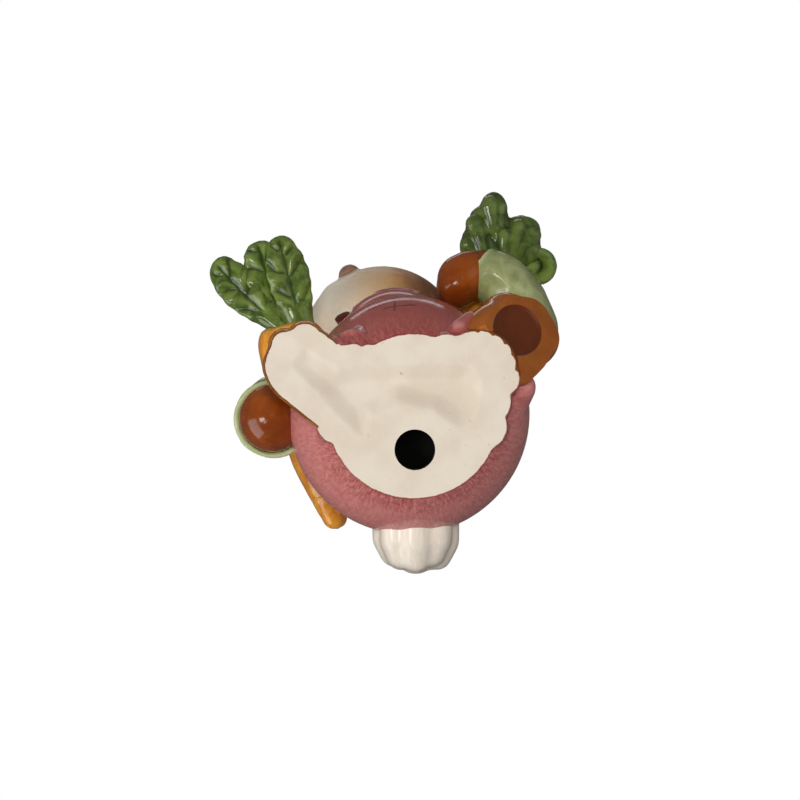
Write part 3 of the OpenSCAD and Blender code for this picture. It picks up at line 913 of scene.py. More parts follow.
def headGlaze():
    glaze = Glaze("headGlaze", head["tints"], {"Specular IOR Level": 0.3})
    spot = glaze.place()
    way = glaze.unit(glaze.moved(spot, tuple(-Vector(head["at"]))))
    # cream muzzle and chin, sprayed softly into the brown
    middle, inner, outer, brow = head["mask"]
    ahead, left, rise = (glaze.along(way, v) * head["radius"] for v in faceFrame())
    fade = (outer - (left - middle).size()) / (outer - inner)
    fade = glaze.low(glaze.high(fade, 0.0), 1.0)
    facing = fade * rise.ease(brow + 5.0, brow - 5.0) * ahead.ease(-15.0, 9.0)
    drift = glaze.cloud(spot, 0.08, 3.0)
    hairs = glaze.cloud(spot, 0.6, 5.0, 0.65)
    tufts = hairs.ease(0.3, 0.7)
    spray = facing + (drift - 0.5) * 0.16 + (hairs - 0.5) * 0.1
    azimuth, height = glaze.mark("azimuth"), glaze.mark("height")
    beside, below = (azimuth.size() - 47.0) / 15, (height + 10.0) / 13
    blush = (beside * beside + below * below).ease(1.0, 0.0)
    # whisker freckles
    dots = glaze.node("ShaderNodeTexVoronoi", {}, {"Vector": spot, "Scale": 0.42,
                                                   "Randomness": 0.7}, "Distance")
    pads = (azimuth.size() - 17.0).size().ease(9.0, 5.0) * (height + 17.0).size().ease(9.0, 5.0)
    mouth = glaze.mark("mouth")
    colour = glaze.layers(
        "brown", ("brownLight", tufts),
        ("tan", spray.ease(0.0, 0.42)),
        (glaze.mix("cream", "creamLight", tufts), spray.ease(0.2, 1.05)),
        ("blush", blush * 0.3),
        ("freckle", dots.ease(0.2, 0.13) * pads * 0.35),
        ("pooled", glaze.mark("pool").ease(0.46, 0.25) * 0.6),
        (glaze.mix("nose", "noseLight", tufts), glaze.mark("nose").ease(-0.1, 0.5)),
        ("lip", mouth.ease(-0.4, -0.15) * 0.95),
        (glaze.mix("mouth", "mouthLight", drift.ease(0.3, 0.7)), mouth.ease(0.2, 0.45)))
    return glaze.fired(colour, 0.27 + hairs * 0.1, hairs, 0.1, 0.2)


eye = {
    "place": (21.5, 24, 23.0),
    "size": (3.6, 5.0, 2.7),
    "fine": (0.3, 3),
    "iris": (9.5, 19.0),
    # where the painted glint sits, a white dot standing in for a reflection
    "paintedGlint": (0.9, 1.7),
    "tints": {"pupil": (14, 9, 8), "iris": (78, 40, 18), "rim": (22, 13, 10),
              "paintedGlint": (250, 248, 244)},
}


def eyePlace(side):
    angle, up, reach = eye["place"]
    at = Vector(head["at"]) + faceWay(side * angle, up) * reach
    return at, eye["size"], faceTurn(side * angle, up)


def makeEye(name, side):
    clay = bmesh.new()
    addBall(clay, *eyePlace(side))
    return fused(name, clay, eye["fine"])


def eyeGlaze(name, side):
    middle, _, turn = eyePlace(side)
    glaze = Glaze(name, eye["tints"], {"Coat Weight": 0.6})
    spot = glaze.moved(glaze.place(), tuple(-middle))
    across, rise = (glaze.along(spot, turn.col[i].xyz) for i in (0, 1))
    (wide, tall), (glintX, glintY) = eye["iris"], eye["paintedGlint"]
    ring = (across * across / wide + rise * rise / tall) ** 0.5
    glow = glaze.cloud(spot, 0.5, 3.0)
    # a white dot is painted on as a glint, standing in for a reflected highlight
    glintX, glintY = across - glintX, rise - glintY
    paintedGlint = (glintX * glintX + glintY * glintY) ** 0.5
    colour = glaze.layers(
        "pupil", ("iris", ring.ease(0.42, 0.72) * (0.6 + glow * 0.5)),
        ("rim", ring.ease(0.8, 0.95)),
        ("paintedGlint", paintedGlint.ease(0.95, 0.75)))
    return glaze.fired(colour, 0.04 + glow * 0.03)


# Ears: upright and scooped

ear = {
    "length": 45,
    "half": 9.7,
    "thick": (4.2, 1.05, 0.35),  # and its share at the foot, and the loss on the way up
    "splay": 25,
    "lean": 16,
    "steps": (-0.05, 0.82, 14),
    "step": 7.6,
    "widths": ((-0.05, 0.1, 0.25, 0.45, 0.6, 0.72, 0.82),
               (0.62, 0.74, 0.91, 1.0, 0.95, 0.82, 0.62)),
    "scoop": 3.0,
    "scoopWidths": ((0, 0.15, 0.45, 0.7, 0.92), (0.42, 0.6, 0.72, 0.56, 0.05)),
    "scoopEnds": (0.02, 0.93),
    "folds": (0.35, 1.5),
    "passes": ((0.6, 20), (0.45, 6)),
    "tints": {
        "brown": (84, 43, 20), "brownLight": (124, 70, 33), "tip": (58, 28, 13),
        "flesh": (222, 186, 164), "fleshLight": (236, 214, 196), "rose": (196, 128, 112),
        "thin": (166, 112, 66),
    },
}


def earFrame(side):
    ahead, left, top = faceFrame(0)
    splay, lean = math.radians(ear["splay"]), math.radians(ear["lean"])
    out = left * side * math.sin(splay) - ahead * math.sin(lean) + top * math.cos(splay)
    out.normalize()
    root = Vector(head["at"]) + out * head["radius"]
    up = (out / 2 + top).normalized()
    wide = (-ahead).cross(up).normalized()
    return root, wide, up, up.cross(wide)


def makeEar(name, side):
    root, wide, up, back = earFrame(side)
    turn = axes(wide, up, back)
    clay = bmesh.new()
    thick, foot, loss = ear["thick"]
    for share in np.linspace(*ear["steps"]):
        half = ear["half"] * np.interp(share, *ear["widths"])
        spot = root + up * ear["length"] * float(share)
        addBall(clay, spot, (half, ear["step"], thick * (foot - loss * share)), turn)
    piece = fused(name, clay, *ear["passes"])
    co = getPoints(piece)
    local = (co - np.array(root)) @ np.array([wide, up, back]).T
    t = local[:, 1] / ear["length"]
    half = ear["half"] * np.interp(t, *ear["scoopWidths"])
    inside = (half - np.abs(local[:, 0])) * (local[:, 2] < 0)
    start, end = ear["scoopEnds"]
    inside = np.where((t > start) & (t < end), inside, -1)
    push = ear["scoop"] * ease(inside, -0.6, 4.5)
    height, waves = ear["folds"]
    folds = height * np.sin(local[:, 0] * waves) * ease(inside, 1, 4)
    setPoints(piece, co + np.outer(push + folds, np.array(back)))
    setMark(piece, "inner", np.where(local[:, 2] < 0.5, inside, -2))
    setMark(piece, "climb", t)
    return pooled(piece)


def earGlaze():
    glaze = Glaze("earGlaze", ear["tints"], {"Coat Weight": 0.25})
    x, y, z = glaze.split(glaze.place())
    hairs = glaze.cloud(glaze.join(x, y, z * 0.15), 1.1, 4.0, 0.6)
    inner, climb, pool = glaze.mark("inner"), glaze.mark("climb"), glaze.mark("pool")
    flesh = glaze.layers(
        "flesh", ("fleshLight", hairs.ease(0.3, 0.7)),
        ("rose", inner.ease(1.0, 4.2) * 0.55))
    colour = glaze.layers(
        "brown", ("brownLight", hairs.ease(0.28, 0.72)),
        ("tip", climb.ease(0.72, 1.0) * 0.7),
        (flesh, (inner + (hairs - 0.5) * 0.9).ease(-0.3, 0.9)),
        ("thin", pool.ease(0.6, 0.9) * 0.4))
    return glaze.fired(colour, 0.16 + hairs * 0.1, hairs, 0.15, 0.25)


# Sleeves, each with a deep cuff that holds a paw

rightSleeve = {
    "arm": [((-15, -6.2, 57.2), 10.2), ((-25.5, -4.4, 62.6), 10.1), ((-35.8, -1.6, 60.4), 10.3),
            ((-39.6, -0.2, 47), 10.2)],
    "cuff": ((-39.4, -0.2, 47), (-38.9, 1.5, 28), 10.2, 11.4),
    "mouth": (9.8, 7),
    "folds": [((-38, -11, 55), (-30, -13, 62), 1.5, 0.8),
              ((-44, -8, 52), (-30, -10, 55), 1.6, -0.9),
              ((-45, 7, 53), (-33, 10, 56), 1.6, -0.9), ((-48, 0, 44), (-42, -9, 40), 1.7, 0.8),
              ((-49, 3, 38), (-42, 10, 43), 1.7, 0.7), ((-20, -4, 70), (-19, -14, 62), 1.5, -0.8),
              ((-21, 4, 66), (-19, -2, 70), 1.5, -0.8)],
}
leftSleeve = {
    "arm": [((10, -6, 57.4), 10.1), ((24, -15.5, 50), 10), ((34.0, -24.6, 43.4), 10),
            ((31.8, -32.0, 43.2), 9.2), ((27.6, -38.4, 43.0), 8.2)],
    "cuff": ((27.6, -38.4, 43.0), (21.5, -41.6, 45.2), 8.2, 7.8),
    "mouth": (7.0, 5),
    "folds": [((23.5, -42.4, 36.4), (32, -36.8, 34.4), 2.0, 0.8),
              ((25, -37.5, 37), (31, -31, 36), 2.2, -0.5),
              ((40, -16, 46), (30, -13, 55), 1.6, -0.9),
              ((41, -28, 48), (34, -30, 52), 1.6, -0.8), ((15, -3, 66), (20, -12, 62), 1.5, -0.8),
              ((38, -30, 38), (42, -20, 38), 1.7, 0.6)],
}
shirt = {
    "rough": (0.7, 8),
    "fine": (0.42, 6),
    "boreTaper": 0.96,
    "borePast": 20,
    "thinRim": 0.45,
    "uneven": (0.28, 7.0, 3.0),
    "tints": {
        "green": (138, 145, 90), "light": (168, 173, 122), "pale": (186, 188, 146),
        "dark": (92, 100, 50), "thin": (206, 202, 168), "pooled": (78, 82, 36),
        "rim": (188, 194, 144),
    },
}


def makeSleeve(name, plan):
    clay = bmesh.new()
    addChain(clay, *plan["arm"])
    start, end, startR, endR = plan["cuff"]
    start, end = Vector(start), Vector(end)
    way = (end - start).normalized()
    addLimb(clay, start, end, startR, endR, True, False)
    # bore the cuff and roll its rim
    mouthR, mouthDeep = plan["mouth"]
    piece = drilled(fused(name, clay, shirt["rough"]), end - way * mouthDeep,
                    end + way * shirt["borePast"], mouthR * shirt["boreTaper"], mouthR)
    clay = layIn(bmesh.new(), piece)
    rim = (endR - mouthR) / 2
    addRing(clay, end, way, mouthR + rim, max(rim, shirt["thinRim"]))
    piece = fused(name, clay, shirt["fine"])
    raiseFolds(piece, plan["folds"])
    roughen(piece, *shirt["uneven"])
    setMark(piece, "rim", np.abs((getPoints(piece) - np.array(end)) @ np.array(way)))
    return pooled(piece)


def sleeveGlaze():
    glaze = Glaze("shirtGlaze", shirt["tints"], {"Coat Weight": 0.25})
    spot, pool = glaze.place(), glaze.mark("pool")
    wash = glaze.cloud(spot, 0.13, 3.0, 0.55, 1.2)
    mottle = glaze.cloud(spot, 0.55, 5.0, 0.65)
    colour = glaze.layers(
        "green", ("light", wash.ease(0.3, 0.68)),
        ("pale", mottle.ease(0.55, 0.8) * 0.4),
        ("dark", mottle.ease(0.42, 0.25) * 0.35),
        ("thin", pool.ease(0.57, 0.85) * 0.65),
        ("pooled", pool.ease(0.45, 0.22) * 0.8),
        ("rim", glaze.mark("rim").ease(1.6, 0.2) * 0.7))
    return glaze.fired(colour, 0.13 + mottle * 0.1, mottle, 0.1, 0.2)


# Paws: each way points out of the cuff

rightPaw = {
    "at": (-38.9, 1.2, 25.6),
    "size": (9.6, 9.75, 9.6),
    "turn": 0,
    "way": (-0.047, 0.062, -0.997),
    "wrist": (9, 5.6, 5.0),
    "fingers": (-0.5, -0.85, 0),
}
leftPaw = {
    "at": (16.0, -39.3, 44.2),
    "size": (7.0, 9.3, 8.5),
    "turn": 36,
    "way": (-0.904, 0.392, -0.17),
    "wrist": (6, 7.6, 6.4),
    "fingers": (-0.9, -0.2, 0.4),
}
paw = {
    "creases": (-2.6, 2.6),
    "crease": (0.6, 0.7),
    "fine": (0.45, 8),
    "tints": {"light": (148, 72, 19), "deep": (116, 50, 10), "pale": (180, 102, 38)},
}


def makePaw(name, plan):
    centre, way = Vector(plan["at"]), Vector(plan["way"])
    clay = bmesh.new()
    addBall(clay, centre, plan["size"], Matrix.Rotation(math.radians(plan["turn"]), 4, "Z"))
    long, thick, thin = plan["wrist"]
    addLimb(clay, centre, centre - way * long, thick, thin)
    piece = fused(name, clay, paw["fine"])
    # two creases part the fingers
    front = np.array(Vector(plan["fingers"]).normalized())
    rel = getPoints(piece) - np.array(centre)
    across = np.cross(front, np.array(way))
    across /= np.linalg.norm(across)
    upper = ease(rel @ front, 4.5, 8) * ease(rel[:, 2], 0.5, 4)
    width, depth = paw["crease"]
    crease = sum(np.exp(-((rel @ across - s) / width) ** 2) for s in paw["creases"])
    swell(piece, -depth * upper * crease)
    return pooled(piece)


# Carrots

rightCarrot = {
    "crown": (-36.3, -26.6, 51.9),
    "way": (0.2413, 0.9679, 0.0698),
    "length": 63.2,
    "seed": 4,
}
leftCarrot = {
    "crown": (28, -43, 59.5),
    "way": (-0.2222, 0.9623, 0.1564),
    "length": 50,
    "seed": 9,
}
carrot = {
    "radius": 10,
    "tip": 3.7,
    "dimple": 0.6,
    "shoulder": (0.12, 0.62),  # where it ends, and its share of the radius at the crown
    "tipFrom": 0.94,
    "rows": 110,
    "sides": 90,
    "uneven": (0.25, 6.0),
    "creases": 17,
    "creaseSpan": (0.08, 0.86),
    "creaseSize": (0.5, 0.26),
    "creaseBow": 0.5,
    "tints": {
        "orange": (212, 126, 24), "light": (234, 164, 60), "burnt": (178, 92, 10),
        "pooled": (120, 56, 6), "thin": (238, 178, 80),
    },
}


def carrotRadius(t):
    # by the share of the length from the crown
    radius, tip, tipFrom = carrot["radius"], carrot["tip"], carrot["tipFrom"]
    shoulder, crown = carrot["shoulder"]
    if t < shoulder:
        return radius * (crown + (1 - crown) * math.sqrt(1 - (1 - t / shoulder) ** 2))
    if t < tipFrom:
        return radius + (tip - radius) * ((t - shoulder) / (tipFrom - shoulder)) ** 3
    return tip * math.sqrt(max(0, 1 - ((t - tipFrom) / (1 - tipFrom)) ** 2))


def makeCarrot(name, plan):
    length, way = plan["length"], np.array(plan["way"])
    rows = np.linspace(0.0, 1, carrot["rows"])
    profile = [(0, carrot["dimple"])] + [(carrotRadius(t), length * t) for t in rows]
    clay = bmesh.new()
    addSpun(clay, profile, Matrix.Translation(plan["crown"]) @ turnTo(way), carrot["sides"])
    piece = unfired(name, clay)
    # short creases part of the way round, as on a grown root
    co = getPoints(piece)
    rel = co - np.array(plan["crown"])
    along = rel @ way
    flat = rel - np.outer(along, way)
    right = np.cross(way, (0, 0, 1))
    right /= np.linalg.norm(right)
    angle = np.arctan2(flat @ np.cross(right, way), flat @ right)
    dice = np.random.default_rng(plan["seed"])
    height, size = carrot["uneven"]
    lift = height * unevenness(co, size, plan["seed"])
    (first, span), (width, depth) = carrot["creaseSpan"], carrot["creaseSize"]
    for k in range(carrot["creases"]):
        at = length * (first + span * (k + dice.uniform(-0.3, 0.3)) / carrot["creases"])
        middle, spread = dice.uniform(-math.pi, math.pi), dice.uniform(0.5, 1.4)
        off = np.abs((angle - middle + math.pi) % (2 * math.pi) - math.pi)
        gap = along - at - carrot["creaseBow"] * np.sin(angle * 2)
        lift -= depth * np.exp(-(gap / width) ** 2) * ease(off, spread, spread * 0.5)
    swell(piece, lift)
    return pooled(piece)


def carrotGlaze():
    glaze = Glaze("carrotGlaze", carrot["tints"], {"Coat Weight": 0.3})
    spot, pool = glaze.place(), glaze.mark("pool")
    x, y, z = glaze.split(spot)
    streaks = glaze.cloud(glaze.join(x, y * 0.35, z), 0.4, 5.0, 0.65)
    drift = glaze.cloud(spot, 0.08, 3.0)
    colour = glaze.layers(
        "orange", ("light", streaks.ease(0.3, 0.7)),
        ("burnt", drift.ease(0.5, 0.75) * 0.55),
        ("pooled", pool.ease(0.47, 0.3) * 0.8),
        ("thin", pool.ease(0.56, 0.8) * 0.4))
    return glaze.fired(colour, 0.13 + streaks * 0.12, streaks, 0.15, 0.25)


# Leaves, in bunches from the carrots' crowns
# each leaf: step aside, turn, tilt, length, width, drop, bend of its tip, flare of its foot

rightLeaves = {
    "from": (-37.0, -26.6, 51.9),
    "side": -1,
    "leaves": [(-0.4, 18, 10, 26.6, 1.2, 0.6, 0, 0.15), (-1.9, 50, 9, 27.4, 1.0, 0.3, 2.0, -0.1),
               (5.2, 15, 4, 27, 1.12, -2.4, 0, 0.2)],
    "pooling": 0.16,
}
leftLeaves = {
    "from": leftCarrot["crown"],
    "side": 1,
    "leaves": [(-3.2, 2, 34, 29.0, 0.84, 0.6, 0, 0), (0.4, 27, 48, 27.6, 0.95, -0.6, 0, 0),
               (-0.6, 78, 52, 25.6, 0.86, -0.8, 0, 0)],
    "pooling": 0.12,
    "blades": [((25.6, -61.7, 60.5), (4.2, 4.7, 3.2)), ((24.3, -58.6, 60.4), (5.9, 4.6, 3.3)),
               ((24.0, -55.5, 60.2), (7.0, 5.4, 3.4)), ((21.8, -52.6, 60.1), (5.6, 4.6, 3.3)),
               ((22.6, -50, 60), (7.2, 5.4, 3.4)), ((35.0, -54.2, 60), (4.8, 5.0, 3.2)),
               ((32.6, -55.2, 60), (4.0, 3.9, 3.2)), ((36.0, -51.6, 59.8), (3.9, 3.7, 3.2)),
               ((33.2, -49.5, 60), (6.8, 5.2, 3.4))],
    "ridges": [((26.2, -51, 58.2), (24.6, -62.0, 58.2), 1.2, 3.0),
               ((28, -50, 58.8), (27.6, -61.4, 59.0), 1.6, 2.3),
               ((23.2, -47, 57.6), (20.0, -56.4, 57.4), 1.8, 2.8),
               ((21.5, -46, 58.8), (18.2, -50.6, 58.8), 1.8, 2.6),
               ((28.4, -46, 56.8), (28.6, -53.5, 56.8), 1.6, 1.9),
               ((31.0, -47, 57.6), (32.8, -55.2, 57.6), 1.8, 2.7),
               ((32.6, -46.5, 57.4), (37.2, -53.4, 57.4), 1.8, 2.7),
               ((33.4, -45, 57), (37.4, -48.4, 56.8), 1.8, 2.5)],
    "bladeFine": (0.45, 4),
    "uneven": (0.45, 5.0, 2.0),
    "shade": 0.7,
    "curl": ((38.4, -44.0, 56.0), 4.0, 2.2, (-115, 130)),
    "curlSteps": 16,
    "curlRise": 3,
    "curlFoot": ((-1.5, 1.0, 5.5), (5.0, 5.0, 4.0)),
    "curlFine": (0.5, 8),
}
leaf = {
    "rows": ((0.0, 3.4, 3.0), (4.0, 4.0, 3.0), (8.0, 5.0, 2.9), (12.0, 5.8, 2.8),
             (16.0, 6.2, 2.8), (20.0, 5.9, 2.7), (23.5, 4.8, 2.5)),
    "rowReach": 5.2,
    "length": 29,
    "passes": ((0.6, 14), (0.36, 3)),
    "veinStep": 7.6,
    "veinShift": (1.3, 1.5),
    "veinWander": (0.35, 6.0),
    "slant": 0.7,
    "vein": 0.8,
    "midrib": 0.8,
    "groove": 0.65,
    "puff": 1.2,
    "pillow": 1.8,
    "cup": 0.03,
    "bendOver": 27,
    "tints": {
        "green": (58, 80, 25), "light": (114, 134, 60), "pale": (132, 148, 74),
        "thin": (138, 152, 84), "pooled": (30, 46, 13),
    },
}


def dip(x, width):
    return np.exp(-(x / width) ** 2)


def makeLeaf(plan, aside, turn, tilt, length, width, drop, bend, flare):
    a, e, side = math.radians(turn), math.radians(tilt), plan["side"]
    out = Vector((side * math.sin(a) * math.cos(e), -math.cos(a) * math.cos(e), math.sin(e)))
    wide = Vector((0, 0, 1)).cross(out).normalized()
    thick = out.cross(wide)
    root = Vector(plan["from"]) + thick * drop + Vector((aside, 0, 0))
    clay = bmesh.new()
    last = leaf["rows"][-1][0]
    for along, half, plump in leaf["rows"]:
        at = root + out * along * length / leaf["length"]
        half *= width * (1 + flare * (0.5 - along / last))
        addBall(clay, at, (half, leaf["rowReach"], plump), axes(wide, out, thick))
    piece = fused("leaf", clay, *leaf["passes"])
    co, normals = getPoints(piece), getNormals(piece)
    across, along, _ = ((co - np.array(root)) @ np.array([wide, out, thick]).T).T
    # a groove for the midrib, chevrons for the side veins, plump between them
    step, (parted, first), (wander, size) = leaf["veinStep"], leaf["veinShift"], leaf["veinWander"]
    phase = (along - leaf["slant"] * np.abs(across) + np.sign(across) * parted + first) / step
    phase += wander * unevenness(co, size, plan["from"][0])
    off = np.abs(phase - np.round(phase)) * step * 0.76
    blade = ease(along, 3, 8)
    veins = dip(off, leaf["vein"]) * ease(np.abs(across), 0.1, 1.0) * blade
    midrib = dip(across, leaf["midrib"]) * ease(along, 28, 24) * (0.35 + 0.65 * blade)
    flat = np.abs(normals @ np.array(thick))
    pillow = (1 - dip(off, leaf["pillow"])) * (1 - dip(across, leaf["pillow"]))
    pillow = pillow * blade * ease(along, 29, 23) * flat ** 2
    grooves = np.maximum(veins, midrib) * flat
    co += normals * (leaf["puff"] * pillow - leaf["groove"] * grooves)[:, None]
    # the blade cups and its tip bends aside
    t = np.clip(along / leaf["bendOver"], 0, 1.2)
    co += np.outer(-leaf["cup"] * across ** 2 * blade, np.array(thick))
    co += np.outer(bend * t ** 2, np.array(wide))
    setPoints(piece, co)
    setMark(piece, "vein", grooves)
    return piece


def makeBlades(plan):
    # plump leaves that lie below the others, painted darker all over as shade
    clay = bmesh.new()
    for at, size in plan["blades"]:
        addBall(clay, at, size)
    for ridge in plan["ridges"]:
        addLimb(clay, *ridge)
    piece = fused("blades", clay, plan["bladeFine"])
    roughen(piece, *plan["uneven"])
    # the whole blade is marked as vein, so the leaf glaze paints it darker as painted shade
    setMark(piece, "vein", np.full(len(piece.data.vertices), plan["shade"]))
    return piece


def makeCurl(plan):
    # the lowest leaf rolls in on itself
    at, radius, thick, (low, high) = plan["curl"]
    clay = bmesh.new()
    for share in np.linspace(0, 1, plan["curlSteps"]):
        a = math.radians(low + (high - low) * share)
        step = (radius * math.cos(a), radius * math.sin(a), plan["curlRise"] * share)
        addBall(clay, np.add(at, step), thick * (0.6 + 0.4 * math.sin(math.pi * share)))
    step, size = plan["curlFoot"]
    addBall(clay, np.add(at, step), size)
    return fused("curl", clay, plan["curlFine"])


def makeLeaves(name, plan):
    clay = bmesh.new()
    for one in plan["leaves"]:
        layIn(clay, makeLeaf(plan, *one))
    if "blades" in plan:
        layIn(clay, makeBlades(plan))
        layIn(clay, makeCurl(plan))
    piece = unfired(name, clay)
    return pooled(piece, plan["pooling"])


def leafGlaze():
    glaze = Glaze("leafGlaze", leaf["tints"], {"Coat Weight": 0.3})
    spot, pool = glaze.place(), glaze.mark("pool")
    wash = glaze.cloud(spot, 0.2, 4.0, 0.6, 0.8)
    fine = glaze.cloud(spot, 0.9, 4.0, 0.6)
    # darker where glaze pools in creases and in the vein grooves, and painted shade over the lower
    # blades
    dark = glaze.high(pool.ease(0.46, 0.22), glaze.mark("vein").ease(0.45, 0.95))
    colour = glaze.layers(
        "green", ("light", wash.ease(0.3, 0.7)),
        ("pale", fine.ease(0.52, 0.8) * 0.35),
        ("thin", pool.ease(0.58, 0.85) * 0.5),
        ("pooled", dark * 0.75))
    return glaze.fired(colour, 0.09 + fine * 0.07, fine, 0.12, 0.2)


# Buttons at the ends of the straps on the bib

button = {
    "radius": 2.7,
    "thick": 1.1,
    "height": 57.2,
    "proud": 0.2,
    "back": -0.4,
    "rim": ((1, 0.6), (0.9, 1), (0.72, 0.95), (0.62, 0.6), (0, 0.6)),  # shares of both
    "sides": 40,
    "bevel": (0.22, 2),
    "tints": {"cream": (206, 178, 128), "light": (232, 214, 178), "pooled": (140, 100, 58)},
}


def makeButton(name, side):
    (cx, cy, cz), (rx, ry, rz) = body["chest"]
    x, z = side * body["strap"][0], button["height"] - cz
    y = -ry * math.sqrt(1 - (x / rx) ** 2 - (z / rz) ** 2)
    way = Vector((x / rx ** 2, y / ry ** 2, z / rz ** 2)).normalized()
    at = Vector((cx + x, cy + y, cz + z)) + way * button["proud"]
    radius, thick, back = button["radius"], button["thick"], button["back"]
    profile = [(0, back), (radius, back)] + [(radius * r, thick * t) for r, t in button["rim"]]
    clay = bmesh.new()
    addSpun(clay, profile, Matrix.Translation(at) @ turnTo(way), button["sides"])
    piece = unfired(name, clay)
    edges = piece.modifiers.new("edges", "BEVEL")
    edges.width, edges.segments = button["bevel"]
    applied(piece)
    return pooled(piece)


def buttonGlaze():
    glaze = Glaze("buttonGlaze", button["tints"], {"Coat Weight": 0.3})
    mottle = glaze.cloud(glaze.place(), 0.8, 4.0)
    colour = glaze.layers(
        "cream", ("light", mottle.ease(0.3, 0.7)),
        ("pooled", glaze.mark("pool").ease(0.48, 0.35) * 0.7))
    return glaze.fired(colour, 0.14 + mottle * 0.08)


# Pieces

settle(makeBody(), bodyGlaze(), "body_shell", body["sharp"])
settle(makeRightFoot(), furGlaze("rightFootGlaze", rightFoot["tints"], withClay=True),
       "right_foot", rightFoot["sharp"])
settle(makeLeftFoot(), furGlaze("leftFootGlaze", leftFoot["tints"], withPad=True),
       "left_foot", leftFoot["sharp"])
settle(makeTail(), tailGlaze(), "tail")
settle(makeHead(), headGlaze(), "head_shell")
finish = earGlaze()
for word, side in (("right", -1), ("left", 1)):
    settle(makeEar(word + "Ear", side), finish, word + "_ear")
    settle(makeEye(word + "Eye", side), eyeGlaze(word + "EyeGlaze", side))
finish = sleeveGlaze()
settle(makeSleeve("rightSleeve", rightSleeve), finish, "right_sleeve")
settle(makeSleeve("leftSleeve", leftSleeve), finish, "left_sleeve")
finish = furGlaze("pawGlaze", paw["tints"])
settle(makePaw("rightPaw", rightPaw), finish, "right_hand")
settle(makePaw("leftPaw", leftPaw), finish, "left_hand")
finish = carrotGlaze()
settle(makeCarrot("rightCarrot", rightCarrot), finish, "right_carrot")
settle(makeCarrot("leftCarrot", leftCarrot), finish, "left_carrot")
finish = leafGlaze()
settle(makeLeaves("rightLeaves", rightLeaves), finish, "right_leaves")
settle(makeLeaves("leftLeaves", leftLeaves), finish, "left_leaves")
finish = buttonGlaze()
settle(makeButton("rightButton", -1), finish)
settle(makeButton("leftButton", 1), finish)
print("pieces made")


# Stage: the floor shows from above only, so the view from below meets the base

stage = {
    "camera": ((-0.0025, -0.0039, -0.65), 106.36),
    "sensor": 36,
    "clip": (0.01, 50),
    "lamps": {
        "window": ((-0.42, 0.06, -0.54), 0.13, 0.20, 0.75),
        "windowPane": ((-0.30, 0.16, -0.60), 0.04, 0.13, 0.18),
        "sideLow": ((-0.62, 0.36, -0.20), 0.7, 0.5, 2.7),
        "lens": ((-0.03, -0.13, -0.71), 0.2, 0.2, 3.6),
        "fillLow": ((0.46, -0.22, -0.46), 0.5, 0.5, 0.3),
        "fillRight": ((0.60, 0.30, -0.24), 0.6, 0.6, 0.9),
        "keyHigh": ((-0.12, -0.81, 1.08), 0.9, 0.1, 0.65),
        "frontHigh": ((-0.30, -0.62, 1.10), 0.7, 0.7, 8.0),
        "fillHigh": ((0.20, 0.35, 1.40), 1.2, 1.2, 11.0),
    },
    "aim": (-0.003, -0.005, 0.04),
    "unseen": ("fillHigh", "frontHigh", "fillRight", "lens"),  # not mirrored in the glaze
    "ambient": 0.42,
    "dim": 0.14,
    "zenith": 0.1,
    "dusk": (0.45, 0.98),
    "floor": (8, -0.0004),
    "paperEnds": (160, 750),
    "paper": (0.88, 0.88, 0.88, 1),
    "black": (0, 0, 0, 1),
    "white": (1, 1, 1, 1),
}


def placed(name, data, at, turn):
    made = bpy.data.objects.new(name, data)
    made.location, made.rotation_euler = at, turn
    bpy.context.scene.collection.objects.link(made)
    return made


def makeCamera():
    at, lens = stage["camera"]
    data = bpy.data.cameras.new("camera")
    data.lens, data.sensor_width = lens, stage["sensor"]
    data.clip_start, data.clip_end = stage["clip"]
    bpy.context.scene.camera = placed("camera", data, at, (math.pi, 0, 0))


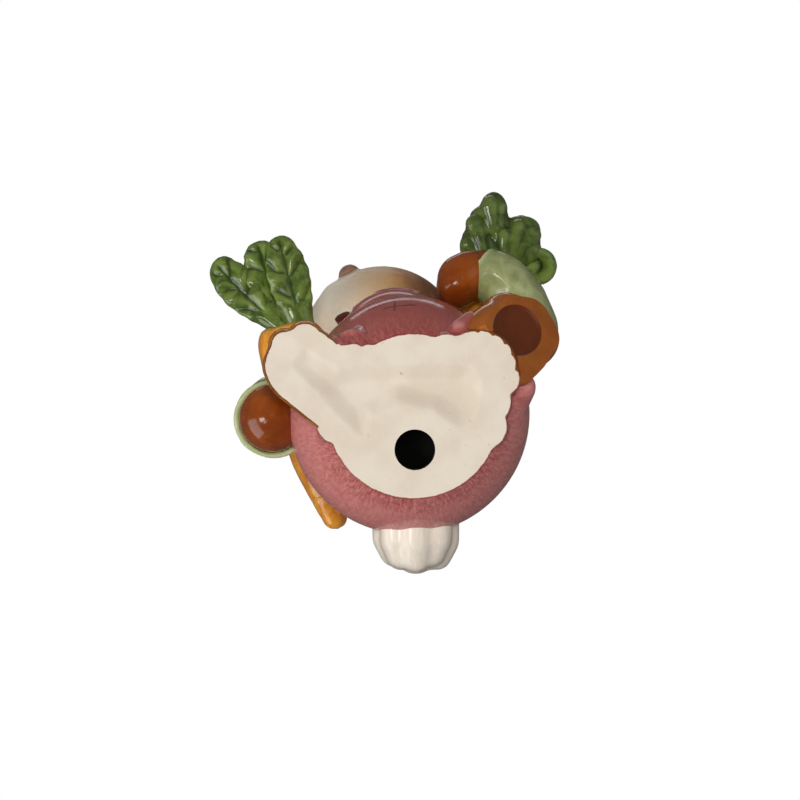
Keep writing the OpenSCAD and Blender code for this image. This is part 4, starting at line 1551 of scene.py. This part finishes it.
def makeLamps():
    for name, (at, width, height, power) in stage["lamps"].items():
        data = bpy.data.lights.new(name, "AREA")
        data.shape, data.size, data.size_y, data.energy = "RECTANGLE", width, height, power
        way = Vector(stage["aim"]) - Vector(at)
        lamp = placed(name, data, at, way.to_track_quat("-Z", "Y").to_euler())
        lamp.visible_glossy = name not in stage["unseen"]


def makeFloor():
    sheet = bmesh.new()
    size, low = stage["floor"]
    bmesh.ops.create_grid(sheet, x_segments=1, y_segments=1, size=size)
    bmesh.ops.translate(sheet, vec=(0, 0, low), verts=sheet.verts)
    floor = unfired("floor", sheet)
    # lit paper around the figure, plain white further off
    paper = Glaze("paper", {}, {"Specular IOR Level": 0.0, "Roughness": 0.9,
                                "Emission Strength": 1})
    x, y, _ = paper.split(paper.place())
    far = ((x * x + y * y) ** 0.5).ease(*stage["paperEnds"])
    paper.connect(paper.shader, {
        "Base Color": paper.mix(stage["paper"], stage["black"], far),
        "Emission Color": paper.mix(stage["black"], stage["white"], far)})
    clear = paper.node("ShaderNodeBsdfTransparent", {}, {})
    under = paper.node("ShaderNodeNewGeometry", {}, {}, "Backfacing")
    both = paper.node("ShaderNodeMixShader", {}, {0: under, 1: paper.surface, 2: clear})
    paper.connect(paper.end, {"Surface": both})
    floor.data.materials.append(paper.material)
    floor.visible_shadow = floor.visible_diffuse = False
    floor.visible_glossy = floor.visible_transmission = False


def makeAir():
    # white to the camera, dim in the glazes, and a soft light from above on the rest
    world = bpy.data.worlds.new("studio")
    world.use_nodes = True
    bpy.context.scene.world = world
    air = Board(world.node_tree)
    seen, glossy, through = (air.node("ShaderNodeLightPath", {}, {}, f"Is {ray} Ray")
                             for ray in ("Camera", "Glossy", "Transmission"))
    height = air.split(air.node("ShaderNodeTexCoord", {}, {}, "Generated"))[2]
    top = 1 - glossy * (1 - stage["zenith"])
    sky = stage["dim"] + (top - stage["dim"]) * air.high(seen, height.ease(*stage["dusk"]))
    level = air.low(seen + glossy + through, 1.0)
    strength = stage["ambient"] + level * (1 - stage["ambient"])
    back = air.node("ShaderNodeBackground", {}, {"Color": stage["white"],
                                                 "Strength": sky * strength})
    air.node("ShaderNodeOutputWorld", {}, {"Surface": back}, None)


makeCamera()
makeLamps()
makeFloor()
makeAir()
bpy.context.scene.view_settings.view_transform = "Standard"
print("stage set")
